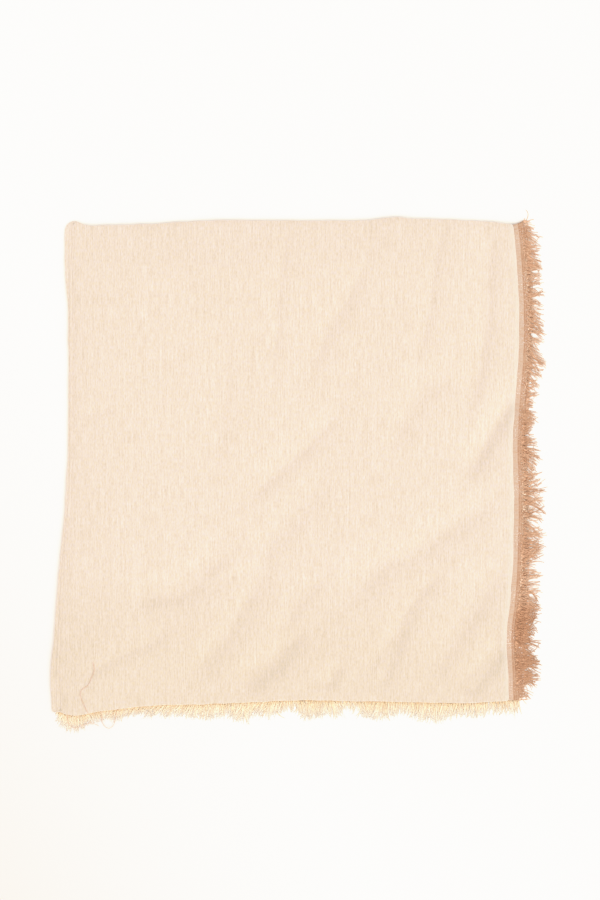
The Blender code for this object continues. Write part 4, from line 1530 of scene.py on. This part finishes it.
@dataclass
class Fringe:
    """A fringe of fine loose strands, gathered in locks that slant and curl.

    Attributes:
        name: the piece's name.
        replaced: the solid that it stands for.
        slot: not used.
        edge: the edge that it grows from.
        locks: how it lies along that edge.
        finish: its yarn.
        seed: what its chances are drawn from.
        strands: how many strands are tried; thin places keep fewer.
        steps: points along each strand.
        radius: thickness of its strands at the root, thinnest and thickest.
        root_band: how far back the roots are spread.
        height: height of the roots: share of the band's height at the side, metres at the end.
        proud: how far the strands of the top band start above it.
        rest: lowest and highest level at which the loose strands come to rest.
        fall: share of a strand's length over which it sinks to that level.
        loft: how far its middle may stand up from there.
        air: least height of a strand's underside above the surface.
        lock_pitch: shortest and longest distance between locks.
        lock_length: length of a whole lock as a share of the full one, shortest and longest.
        strays: share of the strands that join the lock before or after their own.
        gather: how much the strands of a lock draw together.
        gather_pace: how soon along their length they have done so.
        scatter: how much single strands differ in slant, in degrees.
        lock_scatter: how much whole locks do.
        curl: how much a strand bends along its length, in radians.
        own_curl: share of that by which the strands of one lock differ.
        wave: how far a strand's waves swing.
        wave_count: fewest and most waves along a strand.
        shortest: length of the shortest strands as a share of the full one.
        least_length: length that every strand has.
        least_cosine: limit to how much a slanting strand is lengthened.
        reach_share: how much of the locks' reach it has.
        wild: share of the strands that curl back in loops.
        wild_curl: how much those bend, least and most.
        flatness: height of a strand as a share of its width.
        taper: how much thinner a strand's tip is.
        matted: how many broad flat locks of matted fibres are tried under the strands.
        mat_radius: half width of such a lock at its root, smallest and largest.
        mat_length: its length as a share of the full one, smallest and largest.
        mat_growth: what that is multiplied by in the thinnest and the fullest places.
        mat_flatness: height of such a lock as a share of its width.
        mat_taper: how much narrower its tip is.
        mat_rest: lowest and highest level at which the matted locks come to rest.
        shades: shade of the strands, darkest and palest.
        mat_shades: shade of the matted locks.
        pale_thin: how pale a strand would be at a fullness of 0.
        pale_loss: how much of that each unit of fullness takes.
        pale_least: what is always left of its shade.
    """

    name: str
    replaced: str
    slot: str
    edge: Edge
    locks: tuple[LockRow, ...]
    finish: YarnFinish
    seed: int
    strands: int = 980
    steps: int = 9
    radius: Span = (0.00026, 0.00042)
    root_band: float = 0.0030
    height: tuple[float, ...] = (1.0,)
    proud: float = 0.00015
    rest: Span = (0.0002, 0.0008)
    fall: float = 0.45
    loft: float = 0.0002
    air: float = 0.0001
    lock_pitch: Span = (0.0020, 0.0042)
    lock_length: Span = (0.82, 1.06)
    strays: float = 0.18
    gather: float = 0.78
    gather_pace: float = 1.3
    scatter: float = 6.0
    lock_scatter: float = 7.0
    curl: float = 0.45
    own_curl: float = 0.35
    wave: float = 0.0003
    wave_count: Span = (0.7, 2.2)
    shortest: float = 0.60
    least_length: float = 0.004
    least_cosine: float = 0.62
    reach_share: float = 1.04
    wild: float = 0.04
    wild_curl: Span = (1.4, 3.0)
    flatness: float = 0.22
    taper: float = 0.30
    matted: int = 1150
    mat_radius: Span = (0.0008, 0.0017)
    mat_length: Span = (0.15, 0.48)
    mat_growth: Span = (0.7, 1.4)
    mat_flatness: float = 0.04
    mat_taper: float = 0.85
    mat_rest: Span = (0.0001, 0.0005)
    shades: Span = (0.05, 0.75)
    mat_shades: Span = (0.55, 1.0)
    pale_thin: float = 2.2
    pale_loss: float = 1.15
    pale_least: float = 0.12

    def column(self, name: str, place: np.ndarray) -> np.ndarray:
        """Return one of the locks' columns at places along the edge."""
        return table_curve(self.locks, name, place)

    def places(self, tried: int, rng: np.random.Generator) -> np.ndarray:
        """Choose where strands grow: at most one in each even share of the edge, and fewer in thin places.

        Args:
            tried: how many strands are tried.
            rng: what their chances are drawn from.

        Returns:
            The places along the edge.
        """
        ends = [row.place for row in self.locks]
        low, high = min(ends), max(ends)
        place = low + (np.arange(tried) + rng.uniform(0, 1, tried)) * (high - low) / tried
        return place[rng.uniform(0, FULLEST, tried) < self.column("fullness", place)]

    def roots(self, place: np.ndarray, back: np.ndarray, level: np.ndarray) -> np.ndarray:
        """Work out where the strands begin.

        Args:
            place: places along the edge.
            back: how far behind the edge each strand begins.
            level: height of each strand's layer.

        Returns:
            The roots.
        """
        if self.edge is Edge.SIDE:
            surface = BAND.surface(place, 1.0 - back / BAND.width)
            surface[:, 2] = surface[:, 2] * level + np.where(level < 1, 0.0, self.proud)
            return surface
        y = table_curve(BOTTOM_EDGE, "reach", place) + back
        return np.stack([place, y, level], axis=-1)

    def full_length(self, place: np.ndarray, root: np.ndarray) -> np.ndarray:
        """Return how far it is from each root to where the tips reach."""
        across = self.edge.value[0]
        return np.abs(self.column("reach", place) - root[:, across]) * self.reach_share

    def lay(self, root: np.ndarray, outward: np.ndarray, sideways: np.ndarray, z: np.ndarray) -> np.ndarray:
        """Carry strands out from their roots.

        Args:
            root: the roots.
            outward: how far out from its root each point of each strand lies.
            sideways: how far along the edge it lies from there.
            z: its height.

        Returns:
            The centre lines: strand, step, coordinate.
        """
        across, along, out = self.edge.value
        paths = np.empty((*z.shape, 3))
        paths[..., across] = root[:, across, None] + out * outward
        paths[..., along] = root[:, along, None] + sideways
        paths[..., 2] = z
        return paths

    def strand_paths(self, rng: np.random.Generator) -> tuple[np.ndarray, np.ndarray]:
        """Lay out the loose strands.

        Args:
            rng: what their chances are drawn from.

        Returns:
            Their centre lines and their radii.
        """
        place = self.places(self.strands, rng)
        count = len(place)
        first = min(row.place for row in self.locks)
        centres = first + np.cumsum(rng.uniform(*self.lock_pitch, size=MOST_LOCKS))
        lock = np.clip(np.searchsorted(centres, place), 0, MOST_LOCKS - 1)
        strayed = rng.integers(-1, 2, count) * (rng.uniform(0, 1, count) < self.strays)
        lock = np.clip(lock + strayed, 0, MOST_LOCKS - 1)
        lock_slant = rng.normal(0, self.lock_scatter, MOST_LOCKS)[lock]
        lock_curl = rng.normal(0, self.curl, MOST_LOCKS)[lock]
        lock_length = rng.uniform(*self.lock_length, size=MOST_LOCKS)[lock]

        slant = self.column("slant", place) + lock_slant + rng.normal(0, self.scatter, count)
        slant = np.radians(slant)
        curl = lock_curl + rng.normal(0, self.curl * self.own_curl, count)
        wild = rng.uniform(0, 1, count) < self.wild
        curl = np.where(wild, rng.choice([-1, 1], count) * rng.uniform(*self.wild_curl, size=count), curl)

        back = rng.uniform(0, 1, count) ** 1.5 * self.root_band
        root = self.roots(place, back, rng.choice(self.height, count))
        length = self.full_length(place, root) / np.maximum(np.cos(slant), self.least_cosine) * lock_length
        length *= self.shortest + (1 - self.shortest) * rng.uniform(0, 1, count) ** 0.6
        length = np.maximum(length, self.least_length)

        share = np.linspace(0.0, 1.0, self.steps)[None, :]
        heading = slant[:, None] + curl[:, None] * (share[:, 1:] + share[:, :-1]) / 2
        step = length[:, None] / (self.steps - 1)
        start = np.zeros((count, 1))
        outward = np.concatenate([start, np.cumsum(np.cos(heading) * step, axis=1)], axis=1)
        sideways = np.concatenate([start, np.cumsum(np.sin(heading) * step, axis=1)], axis=1)
        to_centre = (centres[lock] - place)[:, None]
        sideways += to_centre * self.gather * smooth_step(share * self.gather_pace)
        swing = rng.uniform(0.2, 1.0, count)[:, None] * self.wave
        turns = rng.uniform(*self.wave_count, size=count)[:, None]
        phase = rng.uniform(0, 2 * math.pi, count)[:, None]
        sideways += swing * np.sin(2 * math.pi * turns * share + phase) * share

        radius = rng.uniform(*self.radius, size=count)[:, None] * (1 - self.taper * share ** 2)
        lift = rng.uniform(-0.5, 1.0, count)[:, None] * self.loft * np.sin(math.pi * share)
        rest = rng.uniform(*self.rest, size=count)[:, None]
        z = rest + (root[:, 2:3] - rest) * (1 - smooth_step(share / self.fall)) + lift
        z = np.maximum(z, radius * self.flatness + self.air)
        return self.lay(root, outward, sideways, z), radius

    def mat_paths(self, rng: np.random.Generator) -> tuple[np.ndarray, np.ndarray]:
        """Lay out the broad flat locks of matted fibres that lie under the strands.

        Args:
            rng: what their chances are drawn from.

        Returns:
            Their centre lines and their half widths.
        """
        place = self.places(self.matted, rng)
        count = len(place)
        root = self.roots(place, rng.uniform(0, 1, count) * self.root_band, rng.choice(self.height, count))
        length = self.full_length(place, root) * rng.uniform(*self.mat_length, size=count)
        growth = np.clip((1 + self.column("fullness", place)) / 2, *self.mat_growth)
        length = (length * growth)[:, None]
        slant = self.column("slant", place) + rng.normal(0, self.scatter, count)
        share = np.linspace(0.0, 1.0, self.steps)[None, :]
        heading = np.radians(slant)[:, None] + rng.normal(0, self.curl, count)[:, None] * share
        radius = rng.uniform(*self.mat_radius, size=count)[:, None] * (1 - self.mat_taper * share ** 2)
        low = radius * self.mat_flatness + rng.uniform(*self.mat_rest, size=count)[:, None]
        z = low + np.maximum(root[:, 2:3] - low, 0) * (1 - smooth_step(share / self.fall))
        return self.lay(root, length * share * np.cos(heading), length * share * np.sin(heading), z), radius

    def build(self) -> bpy.types.Object:
        """Build the fringe as one mesh of thin tubes.

        Returns:
            The finished piece.
        """
        rng = np.random.default_rng(self.seed)
        strands, radius = self.strand_paths(rng)
        mats, mat_radius = self.mat_paths(rng)
        paths = np.concatenate([strands, mats])
        fullness = self.column("fullness", paths[:, 0, self.edge.value[1]])
        # Strands are made darker where the fringe is fuller: partly the deeper brown of a dense fringe, partly
        # painted shade where the creases' shade falls across the side fringe.
        palest = np.clip(self.pale_thin - self.pale_loss * fullness, self.pale_least, 1.0)
        shades = np.concatenate([
            rng.uniform(*self.shades, size=len(strands)), rng.uniform(*self.mat_shades, size=len(mats))])
        piece = tube_piece(
            self.name, paths, np.concatenate([radius, mat_radius]), shades * palest,
            flatness=np.repeat([self.flatness, self.mat_flatness], [len(strands), len(mats)]))
        piece.data.materials.append(self.finish.material(self.name + "_yarn"))
        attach(piece, BODY)
        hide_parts(self.replaced)
        return piece


@dataclass
class LooseThread:
    """The brown thread that strayed over the lower left corner, and its loops in the fringe below.

    Attributes:
        finish: its yarn.
        radius: its thickness.
        lift: how far it lies above the cloth.
        loop_height: height of its loops in the fringe.
        shades: shade of the stretch on the cloth and of the two loops.
        steps: points along each stretch.
        above: a height that is well clear of the cloth.
    """

    finish: YarnFinish = LOOSE_YARN
    radius: float = 0.00021
    lift: float = 0.0003
    loop_height: float = 0.0016
    shades: tuple[float, float, float] = (0.5, 0.3, 0.7)
    steps: int = 60
    above: float = 0.05

    def stretch(self, route: Sequence[tuple[float, float]]) -> np.ndarray:
        """Lay a smooth line through a route.

        Args:
            route: the points that it passes, seen from above.

        Returns:
            The line's points, seen from above.
        """
        place = np.linspace(0, len(route) - 1, self.steps)
        number = np.arange(len(route))
        x = smooth_curve(number, [p[0] for p in route], place)
        y = smooth_curve(number, [p[1] for p in route], place)
        return np.stack([x, y], axis=-1)

    def over_cloth(self, top: bpy.types.Object, plan: np.ndarray) -> list[float]:
        """Return the thread's height at each point: on the cloth, or on the surface where there is none."""
        hits = [top.ray_cast((x, y, self.above), (0.0, 0.0, -1.0)) for x, y in plan]
        return [place.z + self.lift if hit else self.radius for hit, place, _, _ in hits]

    def build(self, top: bpy.types.Object) -> bpy.types.Object:
        """Build the thread.

        Args:
            top: the cloth that it lies on.

        Returns:
            The finished piece.
        """
        stretches = [self.stretch(route) for route in (LOOSE_THREAD, LOOSE_THREAD_LOOP, CORNER_THREAD_LOOP)]
        heights = np.full((len(stretches), self.steps), self.loop_height)
        heights[0] = self.over_cloth(top, stretches[0])
        paths = np.concatenate([np.array(stretches), heights[..., None]], axis=-1)
        radii = np.full(heights.shape, self.radius)
        piece = tube_piece("loose_thread", paths, radii, np.array(self.shades), sides=6)
        piece.data.materials.append(self.finish.material("loose_yarn"))
        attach(piece, BODY)
        return piece


# ---- Surface, light and camera ----

@dataclass(frozen=True)
class Studio:
    """Pale surface, soft light and a camera straight above.

    Attributes:
        view_height: height of the photograph's frame, in metres on the scarf.
        view_middle: where the frame's middle lies on the scarf.
        lens: focal length in millimetres.
        sensor: sensor size along the frame's longer side.
        focus_height: height above the surface at which the frame has that size.
        floor_size: side of the square surface.
        floor_colour: colour of the surface.
        floor_shade: its colour where the light falls off, towards the lower left.
        shade_slant: how fast it falls off to the left and downwards.
        shade_range: where that begins and where it is full, in metres from the middle.
        shade_grain: coarseness of the unevenness of that change, and how far it moves it.
        light_colour: colour of the light.
        sky_strength: strength of the even light from all round.
        key_energy: strength of the broad light.
        key_angle: how broad it is, in degrees.
        key_place: where it comes from.
        film_white: brightness that the picture takes as white.
        film_curve: how bright the picture shows some of the levels below it.
        film_top: how bright it shows white itself.
    """

    view_height: float = 0.927
    view_middle: tuple[float, float] = (0.0015, 0.0232)
    lens: float = 100.0
    sensor: float = 36.0
    focus_height: float = 0.0060
    floor_size: float = 8.0
    floor_colour: Colour = (0.925, 0.880, 0.812)
    floor_shade: Colour = (0.800, 0.715, 0.670)
    shade_slant: tuple[float, float] = (0.86, 0.50)
    shade_range: Span = (0.180, 0.520)
    shade_grain: tuple[float, float] = (3.0, 0.04)
    light_colour: Colour = (1.0, 0.995, 0.985)
    sky_strength: float = 1.03
    key_energy: float = 1.15
    key_angle: float = 60.0
    key_place: tuple[float, float, float] = (0.52, -0.72, 0.88)
    film_white: float = 1.25
    film_curve: tuple[tuple[float, float], ...] = (
        (0.640, 0.800), (0.744, 0.922), (0.800, 0.952), (0.880, 0.972))
    film_top: float = 0.983

    def build_floor(self) -> None:
        """Build the pale surface that the scarf lies on."""
        bpy.ops.object.select_all(action="DESELECT")
        bpy.ops.mesh.primitive_plane_add(size=self.floor_size, location=(0.0, 0.0, 0.0))
        floor = bpy.context.active_object
        floor.name = "pale_surface"
        graph = ShaderGraph("pale_paper")
        place = graph.add("ShaderNodeTexCoord").outputs["Object"]
        grain = graph.add("ShaderNodeTexNoise")
        graph.tree.links.new(place, grain.inputs["Vector"])
        grain.inputs["Scale"].default_value = self.shade_grain[0]
        apart = graph.add("ShaderNodeSeparateXYZ")
        graph.tree.links.new(place, apart.inputs["Vector"])
        leftwards = graph.math("MULTIPLY", apart.outputs["X"], -self.shade_slant[0])
        downwards = graph.math("MULTIPLY", apart.outputs["Y"], -self.shade_slant[1])
        towards_corner = graph.math("ADD", leftwards, downwards)
        uneven = graph.math("MULTIPLY", grain.outputs["Fac"], self.shade_grain[1])
        towards_corner = graph.math("ADD", towards_corner, uneven)
        colour = graph.tint(self.floor_colour, towards_corner, self.shade_range, self.floor_shade)
        graph.set(Base_Color=colour, Roughness=0.9)
        floor.data.materials.append(graph.material)

    def build_light(self) -> None:
        """Light the scene: an even pale sky, and one broad soft light from the lower right."""
        world = bpy.data.worlds.new("pale_studio")
        world.use_nodes = True
        background = world.node_tree.nodes["Background"]
        background.inputs["Color"].default_value = (*self.light_colour, 1.0)
        background.inputs["Strength"].default_value = self.sky_strength
        bpy.context.scene.world = world
        lamp = bpy.data.lights.new("soft_key", "SUN")
        lamp.energy = self.key_energy
        lamp.angle = math.radians(self.key_angle)
        lamp.color = self.light_colour
        key = bpy.data.objects.new("soft_key", lamp)
        bpy.context.scene.collection.objects.link(key)
        key.location = self.key_place
        aim = -np.array(self.key_place)
        key.rotation_euler = (
            math.atan2(math.hypot(aim[0], aim[1]), -aim[2]), 0.0, math.atan2(aim[0], -aim[1]) + math.pi)

    def build_film(self) -> None:
        """Give the picture a bright photograph's response: even, with its whites rolled off softly."""
        view = bpy.context.scene.view_settings
        view.view_transform = "Standard"
        view.use_curve_mapping = True
        mapping = view.curve_mapping
        mapping.white_level = (self.film_white,) * 3
        combined = mapping.curves[3]
        combined.points[1].location = (1.0, self.film_top)
        for level, shown in self.film_curve:
            combined.points.new(level, shown)
        mapping.update()

    def build_camera(self) -> None:
        """Set up the camera, straight above the scarf, with +Y up the frame."""
        data = bpy.data.cameras.new("camera_above")
        data.lens = self.lens
        data.sensor_width = self.sensor
        distance = self.lens / self.sensor * self.view_height
        camera = bpy.data.objects.new("camera_above", data)
        camera.location = (*self.view_middle, distance + self.focus_height)
        data.clip_end = 50.0
        bpy.context.scene.collection.objects.link(camera)
        bpy.context.scene.camera = camera


PACKET = PacketForm()
BAND = SelvedgeBand("selvedge_band", "selvedge_upper")


def main() -> None:
    """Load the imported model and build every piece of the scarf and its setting."""
    logging.basicConfig(level=logging.INFO, format="%(message)s")
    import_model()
    studio = Studio()
    studio.build_camera()
    studio.build_light()
    studio.build_floor()
    studio.build_film()

    top = TopCloth(PACKET).build()
    layers = FoldedLayers(PacketForm(cells=120)).build()
    band = BAND.build()
    lower_bands = SelvedgeBand(
        "lower_bands", "selvedge_lower", levels=(0.70, 0.42, 0.14), outwards=(0.0006, 0.0010, 0.0014),
        fray=replace(BAND.fray, amplitude=0.0006), shorter=0.004, fan=0.0022).build()
    side_hair = Fringe(
        "side_fringe_top", "side_fringe_upper", "side_fringe", Edge.SIDE, SIDE_LOCKS, BROWN_YARN,
        seed=101).build()
    lower_hair = Fringe(
        "side_fringe_below", "side_fringe_lower", "side_fringe", Edge.SIDE, SIDE_LOCKS, BROWN_YARN,
        seed=202, height=(0.75, 0.5, 0.25), root_band=0.0020, reach_share=0.94, strands=620,
        matted=850).build()
    end_hair = Fringe(
        "warp_fringe", "end_fringe", "end_fringe", Edge.END, END_LOCKS, CREAM_YARN,
        seed=303, height=(0.0002, 0.0003, 0.0004), strands=1000, steps=8, radius=(0.00012, 0.00020),
        flatness=0.12, taper=0.7, gather=0.1, curl=0.25, shortest=0.70, reach_share=1.10,
        rest=(0.0001, 0.0003), fall=0.30, matted=3900, mat_length=(0.55, 1.10), mat_radius=(0.0005, 0.0014),
        mat_flatness=0.015, mat_rest=(0.0001, 0.00016), shades=(0.0, 1.0), mat_shades=(0.1, 1.0)).build()
    thread = LooseThread().build(top)

    for piece in (top, layers, band, lower_bands, side_hair, lower_hair, end_hair, thread):
        LOG.info("%s: %d faces", piece.name, len(piece.data.polygons))


if __name__ == "__main__":
    main()
